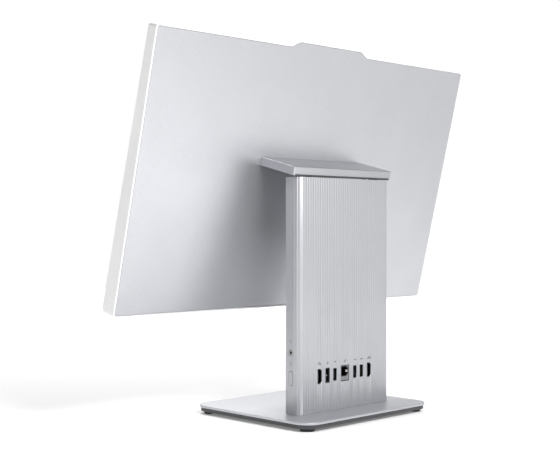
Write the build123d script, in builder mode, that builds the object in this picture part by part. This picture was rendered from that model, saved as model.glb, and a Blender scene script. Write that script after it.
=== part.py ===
from build123d import *
from math import atan, cos, degrees, radians, sin
import os

# All-in-one desktop computer: a thin tilting display on a flat hollow column that
# holds the computer, standing on a square base plate. Millimetres, +Z up.
# Origin: centre of the base on the desk. The screen faces -Y, the sockets face +Y.

# ---------------------------------------------------------------- driving sizes
# base
base_width = 223.0
base_depth = 197.0
base_corner = 20.0
base_plate_thickness = 3.0
tray_height = 4.8
tray_inset = 1.5
tray_wall = 1.6
foot_height = 3.5
foot_length = 17.0
foot_width = 11.0
foot_inset = 14.0
weight_thickness = 2.2
# column
column_width = 163.0
column_depth = 22.0
column_height = 277.7
column_rear_y = 56.0
column_rear_corner = 7.0
column_front_corner = 1.2
cover_wall = 1.8
cap_thickness = 2.5
cap_recess = 1.7
# display, measured on its own back face
display_tilt = 13.94
display_width = 537.0
display_height = 322.2
display_corner = 3.0
rim_width = 2.0
bottom_thickness = 22.5
top_thickness = 14.5
bump_base_width = 135.6
bump_top_width = 109.4
bump_height = 6.8
bump_round = 5.0
rear_cover_wall = 2.0
# screen, measured on the front face
side_border = 5.0
top_border = 6.8
chin_height = 18.9
bezel_thickness = 1.0
cell_thickness = 1.5
backlight_thickness = 5.0
chassis_thickness = 1.0
cell_margin = 2.5
# neck plate between the display and the column
neck_width = 174.4
neck_overhang = 4.2
neck_thickness = 10.2
neck_underside = 178.2
neck_skin = 1.6
neck_wall = 1.8
neck_corner = 1.5
neck_chamfer = 0.4
neck_steel = 2.5
# tilt hinge
hinge_behind_back = 53.3
hinge_below_neck = 12.4
hinge_edge_inset = 21.0
pin_radius = 3.0
eye_wall = 2.0
arm_width = 12.0
arm_thickness = 6.0
arm_foot_length = 28.0
lug_thickness = 3.0
# computer inside the column
board_thickness = 1.2
board_left_gap = 3.2
board_right_gap = 21.2
board_height = 145.0
board_above_base = 11.0
frame_steel = 1.2
standoff_height = 2.6
blower_size = 66.0
blower_thickness = 9.0
blower_above_board = 3.7
rotor_margin = 7.0
rotor_hub_radius = 11.0
rotor_blades = 13
fin_count = 18
port_above_base = 42.7
# side controls
button_above_base = 42.4
button_length = 16.6
button_width = 6.6
button_travel = 0.6
jack_above_base = 72.5
side_control_offset = 3.1
jack_barrel_radius = 3.3
jack_bore_radius = 1.8
jack_depth = 14.0
# clearances
seam_gap = 0.4
cover_gap = 0.3
running_gap = 0.5
port_gap = 0.7
pin_gap = 0.05
neck_gap = 0.3
fit_gap = 0.2

# ---------------------------------------------------------------- worked out
base_top = foot_height + tray_height + base_plate_thickness
tray_top = foot_height + tray_height
column_top = base_top + column_height
column_front_y = column_rear_y - column_depth
column_mid_y = column_rear_y - column_depth / 2
inner_half_width = column_width / 2 - cover_wall
inner_rear_y = column_rear_y - cover_wall
web_front_y = column_front_y + cover_wall + seam_gap
web_rear_y = web_front_y + frame_steel
board_front_y = web_rear_y + standoff_height
board_rear_y = board_front_y + board_thickness
board_left_x = -inner_half_width + board_left_gap
board_right_x = inner_half_width - board_right_gap
board_bottom_z = base_top + board_above_base
board_top_z = board_bottom_z + board_height
cap_top = column_top - cap_recess
cap_bottom = cap_top - cap_thickness
port_centre_z = base_top + port_above_base
button_centre_z = base_top + button_above_base
jack_centre_z = base_top + jack_above_base
side_control_y = column_mid_y - side_control_offset
blower_centre_z = board_top_z + blower_above_board + blower_size / 2
rotor_radius = blower_size / 2 - rotor_margin
eye_radius = pin_radius + eye_wall
hinge_x = column_width / 2 - hinge_edge_inset
hinge_y = column_mid_y
hinge_z = cap_bottom - cover_gap - eye_radius

tilt = radians(display_tilt)
outer_height = display_height + 2 * rim_width
wedge = atan((bottom_thickness - top_thickness) / outer_height)
screen_tilt = tilt + wedge

# the hinge's place in the display's own directions: up its back, and behind it
hinge_v = neck_underside - hinge_below_neck
hinge_w = hinge_behind_back
back_bottom_y = hinge_y - hinge_v * sin(tilt) - hinge_w * cos(tilt)
back_bottom_z = hinge_z - hinge_v * cos(tilt) + hinge_w * sin(tilt)

# back face of the display: x to the right, y up the display, z towards the screen
back = Plane(
    origin=(0, back_bottom_y, back_bottom_z),
    x_dir=(1, 0, 0),
    z_dir=(0, -cos(tilt), sin(tilt)),
)
# front face of the display: y starts at the display's bottom edge
front = Plane(
    origin=back.from_local_coords((0, -rim_width, bottom_thickness)),
    x_dir=(1, 0, 0),
    z_dir=(0, -cos(screen_tilt), sin(screen_tilt)),
)
active_width = display_width - 2 * side_border
active_height = display_height - chin_height - top_border
active_bottom = rim_width + chin_height
active_top = active_bottom + active_height
cell_bottom = active_bottom - cell_margin
cell_top = active_top + cell_margin
chassis_depth = bezel_thickness + cell_thickness + backlight_thickness + chassis_thickness

neck_length = hinge_w + neck_overhang
foot_bottom = neck_underside + neck_skin + fit_gap / 2
steel_bottom = foot_bottom + neck_steel
steel_top = steel_bottom + neck_steel
steel_rear_w = neck_length - neck_wall - cover_gap
arm_front_w = steel_rear_w - arm_thickness
arm_foot_w = steel_rear_w - arm_foot_length
arm_screw_radius = 1.0
arm_screw_x = arm_width / 4
arm_screw_w = (arm_foot_w + 4.0, arm_foot_w + 14.0)
arm_screw_spots = [(dx, w) for dx in (-arm_screw_x, arm_screw_x) for w in arm_screw_w]
skin_bottom = neck_underside + neck_thickness - neck_skin


def side_plane(x):
    """Plane across the neck at x: its x runs to the rear, its y up the display."""
    return Plane(
        origin=Vector(x, back_bottom_y, back_bottom_z),
        x_dir=(0, cos(tilt), -sin(tilt)),
        z_dir=(1, 0, 0),
    )


def neck_level(height):
    """Plane square to the display's back at a height up it: its y runs to the rear."""
    return Plane(
        origin=back.from_local_coords((0, height, 0)),
        x_dir=(1, 0, 0),
        z_dir=(0, sin(tilt), cos(tilt)),
    )


def thickness_at(height):
    """Thickness of the display at a height up its back face."""
    share = (height + rim_width) / outer_height
    return bottom_thickness - (bottom_thickness - top_thickness) * share


def write(builder, name):
    builder.part.label = name
    export_step(builder.part, f"parts/{name}.step")


def box(x0, x1, y0, y1, z0, z1, mode=Mode.ADD):
    """Block between two corners, added to the part in hand."""
    with Locations(((x0 + x1) / 2, (y0 + y1) / 2, (z0 + z1) / 2)):
        Box(x1 - x0, y1 - y0, z1 - z0, mode=mode)


def outline(inset):
    """Outline of the display's back with its camera bump, in the sketch in hand."""
    half = display_width / 2
    with BuildLine() as edge:
        FilletPolyline(
            (-half, 0),
            (half, 0),
            (half, display_height),
            (bump_base_width / 2, display_height),
            (bump_top_width / 2, display_height + bump_height),
            (-bump_top_width / 2, display_height + bump_height),
            (-bump_base_width / 2, display_height),
            (-half, display_height),
            radius=[display_corner] * 3 + [bump_round] * 4 + [display_corner],
            close=True,
        )
    make_face(edge.edges())
    if inset:
        offset(amount=-inset)


def screws(places, head_radius, head_height, shank_radius, shank_length):
    """Screws at planes whose z points away from the head's seat, towards the driver."""
    with BuildPart() as group:
        for place in places:
            with BuildSketch(place):
                Circle(head_radius)
            extrude(amount=head_height)
            with BuildSketch(place):
                Circle(shank_radius)
            extrude(amount=-shank_length)
    return group


os.makedirs("parts", exist_ok=True)

# ---------------------------------------------------------------- base
frame_foot_inset = 11.0
frame_foot_reach = 18.0
base_screw_x = 56.0
base_screw_y = (column_rear_y - 8.0, column_rear_y + 10.0)
screw_hole = 1.6
screw_grip = 2.0
base_chamfer = 0.5
tray_chamfer = 0.6
slot_half = column_width / 2 - frame_foot_inset
foot_flange_rear = column_rear_y + frame_foot_reach
base_screw_spots = [(x, y) for x in (-base_screw_x, 0.0, base_screw_x) for y in base_screw_y]

with BuildPart() as base_plate:
    with BuildSketch(Plane.XY.offset(tray_top)):
        RectangleRounded(base_width, base_depth, base_corner)
    extrude(amount=base_plate_thickness)
    chamfer(base_plate.edges().group_by(Axis.Z)[-1], base_chamfer)
    box(
        -slot_half - cover_gap, slot_half + cover_gap,
        web_front_y - cover_gap, web_rear_y + cover_gap,
        tray_top, base_top, Mode.SUBTRACT,
    )
    with BuildSketch(Plane.XY.offset(tray_top)):
        with Locations(*base_screw_spots):
            Circle(screw_hole)
    extrude(amount=screw_grip, mode=Mode.SUBTRACT)
write(base_plate, "base_plate")

with BuildPart() as base_tray:
    with BuildSketch(Plane.XY.offset(foot_height)):
        RectangleRounded(
            base_width - 2 * tray_inset, base_depth - 2 * tray_inset, base_corner - tray_inset
        )
    extrude(amount=tray_height)
    chamfer(base_tray.edges().group_by(Axis.Z)[0], tray_chamfer)
    with BuildSketch(Plane.XY.offset(foot_height + tray_wall)):
        RectangleRounded(
            base_width - 2 * (tray_inset + tray_wall),
            base_depth - 2 * (tray_inset + tray_wall),
            base_corner - tray_inset - tray_wall,
        )
    extrude(amount=tray_height, mode=Mode.SUBTRACT)
write(base_tray, "base_tray")

weight_gap = 4.0
weight_corner = 12.0
weight_width = base_width - 2 * (tray_inset + tray_wall + weight_gap)
weight_front = -base_depth / 2 + tray_inset + tray_wall + weight_gap
weight_rear = web_front_y - 2 * weight_gap
with BuildPart() as base_weight:
    with BuildSketch(Plane.XY.offset(foot_height + tray_wall)):
        with Locations((0, (weight_front + weight_rear) / 2)):
            RectangleRounded(weight_width, weight_rear - weight_front, weight_corner)
    extrude(amount=weight_thickness)
write(base_weight, "base_weight")

foot_x = base_width / 2 - foot_inset
foot_y = base_depth / 2 - foot_inset
with BuildPart() as rubber_feet:
    for sx in (-1, 1):
        for sy in (-1, 1):
            with BuildSketch(Plane.XY):
                with Locations(Location((sx * foot_x, sy * foot_y), -45 * sx * sy)):
                    SlotOverall(foot_length, foot_width)
            extrude(amount=foot_height)
write(rubber_feet, "rubber_feet")

# ---------------------------------------------------------------- column frame
frame_below_cap = 6.0
flange_above_jack = 16.0
standoff_inset = 4.0
standoff_radius = 2.6
standoff_bore = 0.9
fan_hole_margin = 10.0
web_step = 0.5
web_half = inner_half_width - cover_gap
web_top = cap_bottom - frame_below_cap
flange_rear = column_rear_y - column_rear_corner - 1.0
flange_bottom = jack_centre_z + flange_above_jack
standoff_spots = [
    (x, z)
    for x in (board_left_x + standoff_inset, board_right_x - standoff_inset)
    for z in (board_bottom_z + standoff_inset, board_top_z - standoff_inset)
]
with BuildPart() as column_frame:
    box(-web_half, web_half, web_front_y, web_rear_y, base_top + web_step, web_top)
    box(
        -slot_half, slot_half, web_front_y, web_rear_y,
        tray_top - frame_steel, base_top + web_step,
    )
    box(-slot_half, slot_half, web_front_y, foot_flange_rear, tray_top - frame_steel, tray_top)
    for side in (-1, 1):
        inner, outer = sorted((side * (web_half - frame_steel), side * web_half))
        box(inner, outer, web_front_y, flange_rear, flange_bottom, web_top)
    with BuildSketch(Plane.XZ.offset(-web_front_y)):
        with Locations((0, blower_centre_z)):
            Circle(blower_size / 2 - fan_hole_margin)
    extrude(amount=-frame_steel, mode=Mode.SUBTRACT)
    with BuildSketch(Plane.XZ.offset(-web_rear_y)):
        with Locations(*standoff_spots):
            Circle(standoff_radius)
    extrude(amount=-standoff_height)
    with BuildSketch(Plane.XZ.offset(-web_front_y)):
        with Locations(*standoff_spots):
            Circle(standoff_bore)
    extrude(amount=-(frame_steel + standoff_height), mode=Mode.SUBTRACT)
    with BuildSketch(Plane.XY.offset(tray_top - frame_steel)):
        with Locations(*base_screw_spots):
            Circle(screw_hole)
    extrude(amount=frame_steel, mode=Mode.SUBTRACT)
write(column_frame, "column_frame")

base_screws = screws(
    [Plane(origin=(x, y, tray_top - frame_steel), z_dir=(0, 0, -1)) for x, y in base_screw_spots],
    head_radius=2.8,
    head_height=1.0,
    shank_radius=screw_hole - pin_gap,
    shank_length=frame_steel + screw_grip,
)
write(base_screws, "base_screws")

# ---------------------------------------------------------------- column covers
# x centre, width across, height of each cut-out in the rear cover, left to right from +X
hdmi_cut = (7.4, 17.6)
power_cut = (7.5, 17.6)
usb_cut = (6.2, 14.9)
ethernet_cut = (15.1, 19.2)
port_places = {
    "hdmi_input_port": (46.4, hdmi_cut),
    "power_inlet": (32.6, power_cut),
    "usb_port_1": (19.7, usb_cut),
    "ethernet_port": (1.9, ethernet_cut),
    "usb_port_2": (-16.1, usb_cut),
    "usb_port_3": (-28.2, usb_cut),
    "hdmi_output_port": (-42.2, hdmi_cut),
}
port_corner = 0.6
hdmi_shoulder = 0.64
lock_slot_z = base_top + 15.0
lock_slot_length = 7.0
lock_slot_width = 2.6
cover_top_chamfer = 0.3


def cut_shape(name, grow=0.0):
    """Socket outline seen from the rear, in the sketch in hand: long side upright."""
    x, (across, tall) = port_places[name]
    half_across = across / 2 + grow
    half_tall = tall / 2 + grow
    if name.startswith("hdmi"):
        shoulder = half_across * hdmi_shoulder
        with BuildLine() as edge:
            Polyline(
                (x - half_across, port_centre_z - half_tall + shoulder),
                (x - half_across, port_centre_z + half_tall - shoulder),
                (x - half_across + shoulder, port_centre_z + half_tall),
                (x + half_across, port_centre_z + half_tall),
                (x + half_across, port_centre_z - half_tall),
                (x - half_across + shoulder, port_centre_z - half_tall),
                close=True,
            )
        make_face(edge.edges())
    else:
        with Locations((x, port_centre_z)):
            RectangleRounded(2 * half_across, 2 * half_tall, port_corner)


rear_plane = Plane.XZ.offset(-column_rear_y)
side_face = Plane.YZ.offset(column_width / 2)
with BuildPart() as column_rear_cover:
    with BuildSketch(Plane.XY.offset(base_top)):
        with Locations((0, column_mid_y)):
            Rectangle(column_width, column_depth)
    extrude(amount=column_height)
    fillet(column_rear_cover.edges().filter_by(Axis.Z).group_by(Axis.Y)[-1], column_rear_corner)
    fillet(column_rear_cover.edges().filter_by(Axis.Z).group_by(Axis.Y)[0], column_front_corner)
    chamfer(column_rear_cover.faces().sort_by(Axis.Z)[-1].edges(), cover_top_chamfer)
    with BuildSketch(Plane.XY.offset(base_top)) as hollow:
        with Locations((0, column_mid_y - cover_wall)):
            Rectangle(2 * inner_half_width, column_depth)
        fillet(hollow.vertices().group_by(Axis.Y)[-1], column_rear_corner - cover_wall)
    extrude(amount=column_height, mode=Mode.SUBTRACT)
    for port in port_places:
        with BuildSketch(rear_plane):
            cut_shape(port)
        extrude(amount=2 * cover_wall, mode=Mode.SUBTRACT)
    with BuildSketch(side_face):
        with Locations((side_control_y, jack_centre_z)):
            Circle(jack_barrel_radius + cover_gap)
        with Locations((side_control_y, button_centre_z)):
            SlotOverall(button_length + 2 * cover_gap, button_width + 2 * cover_gap, rotation=90)
    extrude(amount=-2 * cover_wall, mode=Mode.SUBTRACT)
    with BuildSketch(Plane.YZ.offset(-column_width / 2)):
        with Locations((column_mid_y, lock_slot_z)):
            SlotOverall(lock_slot_length, lock_slot_width, rotation=90)
    extrude(amount=2 * cover_wall, mode=Mode.SUBTRACT)
write(column_rear_cover, "column_rear_cover")

vent_length = 44.0
vent_width = 2.2
vent_pitch = 5.0
vent_columns = 11
with BuildPart() as column_front_cover:
    box(
        -inner_half_width + fit_gap, inner_half_width - fit_gap,
        column_front_y, column_front_y + cover_wall,
        base_top, column_top - cap_recess,
    )
    with BuildSketch(Plane.XZ.offset(-column_front_y)):
        with Locations((0, blower_centre_z)):
            with GridLocations(vent_pitch, 1, vent_columns, 1):
                SlotOverall(vent_length, vent_width, rotation=90)
    extrude(amount=-cover_wall, mode=Mode.SUBTRACT)
write(column_front_cover, "column_front_cover")

cable_radius = 1.8
cable_x = -(blower_size / 2 + 5 * cable_radius)
cable_slot_length = 12.0
cable_slot_width = 6.0
cap_slot_width = arm_width + 3.0
cap_slot_depth = 12.0
exhaust_slots = 12
exhaust_pitch = 5.0
exhaust_length = 13.0
exhaust_width = 2.4
cap_front = column_front_y + cover_wall + fit_gap
cap_rear = inner_rear_y - fit_gap
with BuildPart() as column_top_cap:
    with BuildSketch(Plane.XY.offset(cap_bottom)) as cap_face:
        with Locations((0, (cap_front + cap_rear) / 2)):
            Rectangle(2 * (inner_half_width - fit_gap), cap_rear - cap_front)
        fillet(cap_face.vertices().group_by(Axis.Y)[-1], column_rear_corner - cover_wall - fit_gap)
        with Locations((-hinge_x, hinge_y), (hinge_x, hinge_y)):
            Rectangle(cap_slot_width, cap_slot_depth, mode=Mode.SUBTRACT)
        with Locations((cable_x, hinge_y)):
            SlotOverall(cable_slot_length, cable_slot_width, rotation=90, mode=Mode.SUBTRACT)
        with Locations((0, hinge_y)):
            with GridLocations(exhaust_pitch, 1, exhaust_slots, 1):
                SlotOverall(exhaust_length, exhaust_width, rotation=90, mode=Mode.SUBTRACT)
    extrude(amount=cap_thickness)
write(column_top_cap, "column_top_cap")

# ---------------------------------------------------------------- mainboard and what is on it
cable_plug_size = 8.0
cable_plug_bottom = board_top_z - cable_plug_size - 1.0
board_hole_radius = 1.4
regulator_count = 5
regulator_size = 7.0
regulator_pitch = 10.0
regulator_height = 2.4
regulator_left = 4.0
regulator_bottom = board_top_z - 2 * regulator_size
with BuildPart() as mainboard:
    box(board_left_x, board_right_x, board_front_y, board_rear_y, board_bottom_z, board_top_z)
    with BuildSketch(Plane.XZ.offset(-board_front_y)):
        with Locations(*standoff_spots):
            Circle(board_hole_radius)
    extrude(amount=-board_thickness, mode=Mode.SUBTRACT)
    # display cable's connector, then the voltage regulators along the top edge
    box(
        cable_x - cable_plug_size / 2, cable_x + cable_plug_size / 2,
        board_rear_y, hinge_y - cable_radius,
        cable_plug_bottom, cable_plug_bottom + cable_plug_size,
    )
    for step in range(regulator_count):
        left = regulator_left + regulator_pitch * step
        box(
            left, left + regulator_size, board_rear_y, board_rear_y + regulator_height,
            regulator_bottom, regulator_bottom + regulator_size,
        )
write(mainboard, "mainboard")

mainboard_screws = screws(
    [Plane(origin=(x, board_rear_y, z), z_dir=(0, 1, 0)) for x, z in standoff_spots],
    head_radius=2.4,
    head_height=1.2,
    shank_radius=1.25,
    shank_length=board_thickness,
)
write(mainboard_screws, "mainboard_screws")

port_bottom_y = board_rear_y
port_mouth_y = column_rear_y - 0.6
port_floor = 2.0
tongue_margin = 1.5


def socket(name, opening, opening_shift=(0.0, 0.0), tongue=None):
    """Metal socket standing on the mainboard, open to the rear, with its contact tongue."""
    x, _ = port_places[name]
    across, tall = opening
    dx, dz = opening_shift
    with BuildPart() as shell:
        with BuildSketch(Plane.XZ.offset(-port_bottom_y)):
            cut_shape(name, -port_gap)
        extrude(amount=-(port_mouth_y - port_bottom_y))
        box(
            x + dx - across / 2, x + dx + across / 2,
            port_bottom_y + port_floor, port_mouth_y + 0.1,
            port_centre_z + dz - tall / 2, port_centre_z + dz + tall / 2,
            Mode.SUBTRACT,
        )
        if tongue:
            t_across, t_tall, t_shift = tongue
            box(
                x + t_shift - t_across / 2, x + t_shift + t_across / 2,
                port_bottom_y + tongue_margin, port_mouth_y - tongue_margin,
                port_centre_z - t_tall / 2, port_centre_z + t_tall / 2,
            )
    write(shell, name)


hdmi_opening = (4.6, 14.6)
usb_opening = (4.0, 12.6)
power_opening = (5.0, 15.0)
ethernet_opening = (8.0, 11.8)
ethernet_shift = (1.2, 2.2)
latch_notch = (3.0, 6.2)
socket("hdmi_input_port", hdmi_opening, tongue=(1.2, 11.0, 0.6))
socket("hdmi_output_port", hdmi_opening, tongue=(1.2, 11.0, 0.6))
socket("power_inlet", power_opening, tongue=(1.6, 1.6, 0.0))
for number in (1, 2, 3):
    socket(f"usb_port_{number}", usb_opening, tongue=(1.5, 11.0, -1.2))

with BuildPart() as ethernet_port:
    ethernet_x = port_places["ethernet_port"][0]
    with BuildSketch(Plane.XZ.offset(-port_bottom_y)):
        cut_shape("ethernet_port", -port_gap)
    extrude(amount=-(port_mouth_y - port_bottom_y))
    plug_x = ethernet_x + ethernet_shift[0]
    plug_z = port_centre_z + ethernet_shift[1]
    with BuildSketch(Plane.XZ.offset(-(port_bottom_y + tongue_margin))):
        with Locations((plug_x, plug_z)):
            Rectangle(ethernet_opening[0], ethernet_opening[1])
        with Locations((plug_x - (ethernet_opening[0] + latch_notch[0]) / 2 + 0.1, plug_z)):
            Rectangle(*latch_notch)
    extrude(amount=-(port_mouth_y - port_bottom_y), mode=Mode.SUBTRACT)
write(ethernet_port, "ethernet_port")

memory_length = 67.6
memory_width = 30.0
memory_thickness = 3.4
memory_x = board_left_x + 3.0
memory_bottom = board_bottom_z + 47.0
memory_row = memory_width + 3.0
memory_socket_half = 2.0
memory_chips = 4
chip_margin = 4.0
chip_width = 8.0


def on_board(x0, x1, y0, y1, z0, z1):
    """Block on the mainboard: y0 and y1 are heights above its rear face."""
    box(x0, x1, board_rear_y + y0, board_rear_y + y1, z0, z1)


for number in (1, 2):
    low = memory_bottom + (number - 1) * memory_row
    memory_end = memory_x + memory_length
    chip_step = (memory_length - 2 * chip_margin - chip_width) / (memory_chips - 1)
    with BuildPart() as module:
        on_board(memory_x, memory_end, 0.8, 2.0, low, low + memory_width)
        for step in range(memory_chips):
            chip = memory_x + chip_margin + step * chip_step
            on_board(chip, chip + chip_width, 2.0, 3.0, low + 8.0, low + 20.0)
        on_board(
            memory_x, memory_end, 0.0, memory_thickness,
            low - memory_socket_half, low + memory_socket_half,
        )
    write(module, f"memory_module_{number}")

# storage card: its board, two chips and its socket
storage_x = board_right_x - 50.0
storage_z = memory_bottom + 6.0
storage_length = 42.0
storage_half = 11.0
with BuildPart() as storage_module:
    on_board(
        storage_x, storage_x + storage_length, 1.2, 2.0,
        storage_z - storage_half, storage_z + storage_half,
    )
    on_board(storage_x + 4.0, storage_x + 18.0, 2.0, 3.2, storage_z - 9.0, storage_z + 9.0)
    on_board(storage_x + 22.0, storage_x + 34.0, 2.0, 3.2, storage_z - 7.0, storage_z + 7.0)
    on_board(
        storage_x - 5.0, storage_x + 1.0, 0.0, 3.6,
        storage_z - storage_half, storage_z + storage_half,
    )
write(storage_module, "storage_module")

# wireless card: its board, screening can and socket
card_x = board_left_x + 7.5
card_width = 22.0
card_top = board_top_z - 1.0
with BuildPart() as wireless_card:
    on_board(card_x, card_x + card_width, 1.2, 2.0, card_top - 27.0, card_top - 4.0)
    on_board(card_x + 3.0, card_x + 19.0, 2.0, 3.4, card_top - 24.0, card_top - 9.0)
    on_board(card_x, card_x + card_width, 0.0, 3.2, card_top - 5.0, card_top)
write(wireless_card, "wireless_card")

cell_x = board_left_x + 62.0
cell_radius = 10.0
cell_height = 3.2
with BuildPart() as coin_cell:
    with BuildSketch(Plane.XZ.offset(-board_rear_y)):
        with Locations((cell_x, board_top_z - cell_radius - 3.0)):
            Circle(cell_radius)
    extrude(amount=-cell_height)
    chamfer(coin_cell.faces().sort_by(Axis.Y)[-1].edges(), 0.4)
write(coin_cell, "coin_cell")

# ---------------------------------------------------------------- cooling
processor_x = board_right_x - 31.0
processor_z = board_top_z - 41.0
processor_height = 1.5
package_half = (22.0, 12.5)
die_half = (14.0, 9.0)
plate_thickness = 1.5
pipe_width = 8.0
pipe_thickness = 3.0
pipe_x = blower_size / 2 + pipe_width / 2 + 5.0
fin_bottom = blower_centre_z + blower_size / 2 + 4.0
fin_height = 18.0
fin_thickness = 0.8
fin_left = -36.0
fin_right = 30.0
pipe_bend = 12.0
plate_rear_y = board_rear_y + processor_height + plate_thickness
with BuildPart() as processor:
    on_board(
        processor_x - package_half[0], processor_x + package_half[0], 0.0, processor_height / 2,
        processor_z - package_half[1], processor_z + package_half[1],
    )
    on_board(
        processor_x - die_half[0], processor_x + die_half[0], processor_height / 2, processor_height,
        processor_z - die_half[1], processor_z + die_half[1],
    )
write(processor, "processor")

with BuildPart() as cold_plate:
    on_board(
        processor_x - 25.0, processor_x + 26.0,
        processor_height, processor_height + plate_thickness,
        processor_z - 19.0, processor_z + 19.0,
    )
    chamfer(cold_plate.edges().filter_by(Axis.Y), 3.0)
write(cold_plate, "cold_plate")

pipe_mid_y = plate_rear_y + pipe_thickness / 2
pipe_plane = Plane(origin=(0, pipe_mid_y, 0), x_dir=(1, 0, 0), z_dir=(0, -1, 0))
with BuildPart() as heat_pipe:
    with BuildLine(pipe_plane) as pipe_route:
        FilletPolyline(
            (processor_x - 20.0, processor_z),
            (pipe_x, processor_z),
            (pipe_x, fin_bottom + fin_height / 2),
            (fin_left + 2.0, fin_bottom + fin_height / 2),
            radius=pipe_bend,
        )
    with BuildSketch(Plane(origin=pipe_route.line @ 0, x_dir=(0, 1, 0), z_dir=pipe_route.line % 0)):
        RectangleRounded(pipe_thickness, pipe_width, pipe_thickness / 2 - 0.05)
    sweep()
write(heat_pipe, "heat_pipe")

fin_base_y = plate_rear_y + pipe_thickness
fin_rear_y = inner_rear_y - 0.6
with BuildPart() as fin_stack:
    box(
        fin_left, fin_right, fin_base_y, fin_base_y + fin_thickness,
        fin_bottom, fin_bottom + fin_height,
    )
    fin_pitch = (fin_right - fin_left - fin_thickness) / (fin_count - 1)
    for number in range(fin_count):
        fin = fin_left + number * fin_pitch
        box(fin, fin + fin_thickness, fin_base_y, fin_rear_y, fin_bottom, fin_bottom + fin_height)
write(fin_stack, "fin_stack")

blower_rear_gap = 1.8
blower_front_y = inner_rear_y - blower_rear_gap - blower_thickness
blower_rear_y = blower_front_y + blower_thickness
blower_half = blower_size / 2
blower_skin = 1.0
cavity_radius = rotor_radius + 3.0
inlet_radius = rotor_radius - 5.0
motor_radius = 9.0
shaft_radius = 1.5
spoke_width = 3.0
with BuildPart() as blower_housing:
    box(
        -blower_half, blower_half, blower_front_y, blower_rear_y,
        blower_centre_z - blower_half, blower_centre_z + blower_half,
    )
    chamfer(blower_housing.edges().filter_by(Axis.Y), 3.0)
    with BuildSketch(Plane.XZ.offset(-(blower_front_y + blower_skin))):
        with Locations((0, blower_centre_z)):
            Circle(cavity_radius)
        with Locations((0, blower_centre_z + blower_half / 2)):
            Rectangle(2 * cavity_radius - 6.0, blower_half + 1.0)
    extrude(amount=-(blower_thickness - 2 * blower_skin), mode=Mode.SUBTRACT)
    for low in (blower_front_y, blower_rear_y - blower_skin):
        with BuildSketch(Plane.XZ.offset(-low)):
            with Locations((0, blower_centre_z)):
                Circle(inlet_radius)
        extrude(amount=-blower_skin, mode=Mode.SUBTRACT)
    with BuildSketch(Plane.XZ.offset(-blower_front_y)):
        with Locations((0, blower_centre_z)):
            Circle(motor_radius)
            with PolarLocations(rotor_radius / 2, 3):
                Rectangle(rotor_radius - 2.0, spoke_width)
    extrude(amount=-blower_skin)
    with BuildSketch(Plane.XZ.offset(-blower_front_y)):
        with Locations((0, blower_centre_z)):
            Circle(shaft_radius)
    extrude(amount=-(blower_thickness - blower_skin))
write(blower_housing, "blower_housing")

rotor_front_y = blower_front_y + blower_skin + running_gap
rotor_rear_y = blower_rear_y - blower_skin - running_gap
blade_length = 15.0
blade_thickness = 1.0
blade_lean = 25.0
ring_width = 7.5
with BuildPart() as blower_rotor:
    rotor_plane = Plane(origin=(0, rotor_front_y, blower_centre_z), x_dir=(1, 0, 0), z_dir=(0, 1, 0))
    with BuildSketch(rotor_plane):
        Circle(rotor_hub_radius)
        with PolarLocations(0, rotor_blades):
            with Locations(Location((rotor_hub_radius + 6.0, 2.5), blade_lean)):
                Rectangle(blade_length, blade_thickness)
    extrude(amount=rotor_rear_y - rotor_front_y)
    with BuildSketch(rotor_plane):
        Circle(rotor_radius)
        Circle(rotor_radius - ring_width, mode=Mode.SUBTRACT)
    extrude(amount=fin_thickness)
    with BuildSketch(rotor_plane):
        Circle(shaft_radius + pin_gap)
    extrude(amount=rotor_rear_y - rotor_front_y, mode=Mode.SUBTRACT)
write(blower_rotor, "blower_rotor")

# ---------------------------------------------------------------- side controls
side_board_left = board_right_x + 2.0
side_board_rear_y = side_control_y - jack_barrel_radius - fit_gap / 2
switch_half = 3.0
switch_left = inner_half_width - 9.5
switch_right = inner_half_width - 5.5
with BuildPart() as side_board:
    box(
        side_board_left, inner_half_width - 3.0, side_board_rear_y - 1.0, side_board_rear_y,
        button_centre_z - 12.0, jack_centre_z + 8.0,
    )
    box(
        switch_left, switch_right, side_board_rear_y, side_control_y + 2.0,
        button_centre_z - switch_half, button_centre_z + switch_half,
    )
    with BuildSketch(Plane.YZ.offset(switch_right)):
        with Locations((side_control_y, button_centre_z)):
            Circle(1.2)
    extrude(amount=0.8)
write(side_board, "side_board")

button_flange = 0.9
button_lip = 1.2
button_round = 0.3
stem_radius = 1.5
stem_length = 3.0
with BuildPart() as power_button:
    with BuildSketch(Plane.YZ.offset(inner_half_width - cover_gap)):
        with Locations((side_control_y, button_centre_z)):
            SlotOverall(button_length, button_width, rotation=90)
    extrude(amount=cover_wall + cover_gap)
    fillet(power_button.faces().sort_by(Axis.X)[-1].edges(), button_round)
    with BuildSketch(Plane.YZ.offset(inner_half_width - cover_gap - button_flange)):
        with Locations((side_control_y, button_centre_z)):
            SlotOverall(button_length + 2 * button_lip, button_width + 2.0, rotation=90)
    extrude(amount=button_flange)
    with BuildSketch(Plane.YZ.offset(inner_half_width - 3.5)):
        with Locations((side_control_y, button_centre_z)):
            Circle(stem_radius)
    extrude(amount=stem_length)
write(power_button, "power_button")

jack_face_x = column_width / 2 - 0.4
with BuildPart() as headphone_jack:
    with BuildSketch(Plane.YZ.offset(inner_half_width - jack_depth)):
        with Locations((side_control_y, jack_centre_z)):
            Rectangle(2 * jack_barrel_radius, 2 * jack_barrel_radius + 1.0)
    extrude(amount=jack_depth - 0.2)
    with BuildSketch(Plane.YZ.offset(inner_half_width - 1.0)):
        with Locations((side_control_y, jack_centre_z)):
            Circle(jack_barrel_radius)
    extrude(amount=jack_face_x - inner_half_width + 1.0)
    with BuildSketch(Plane.YZ.offset(jack_face_x)):
        with Locations((side_control_y, jack_centre_z)):
            Circle(jack_bore_radius)
    extrude(amount=-jack_depth, mode=Mode.SUBTRACT)
write(headphone_jack, "headphone_jack")

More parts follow.
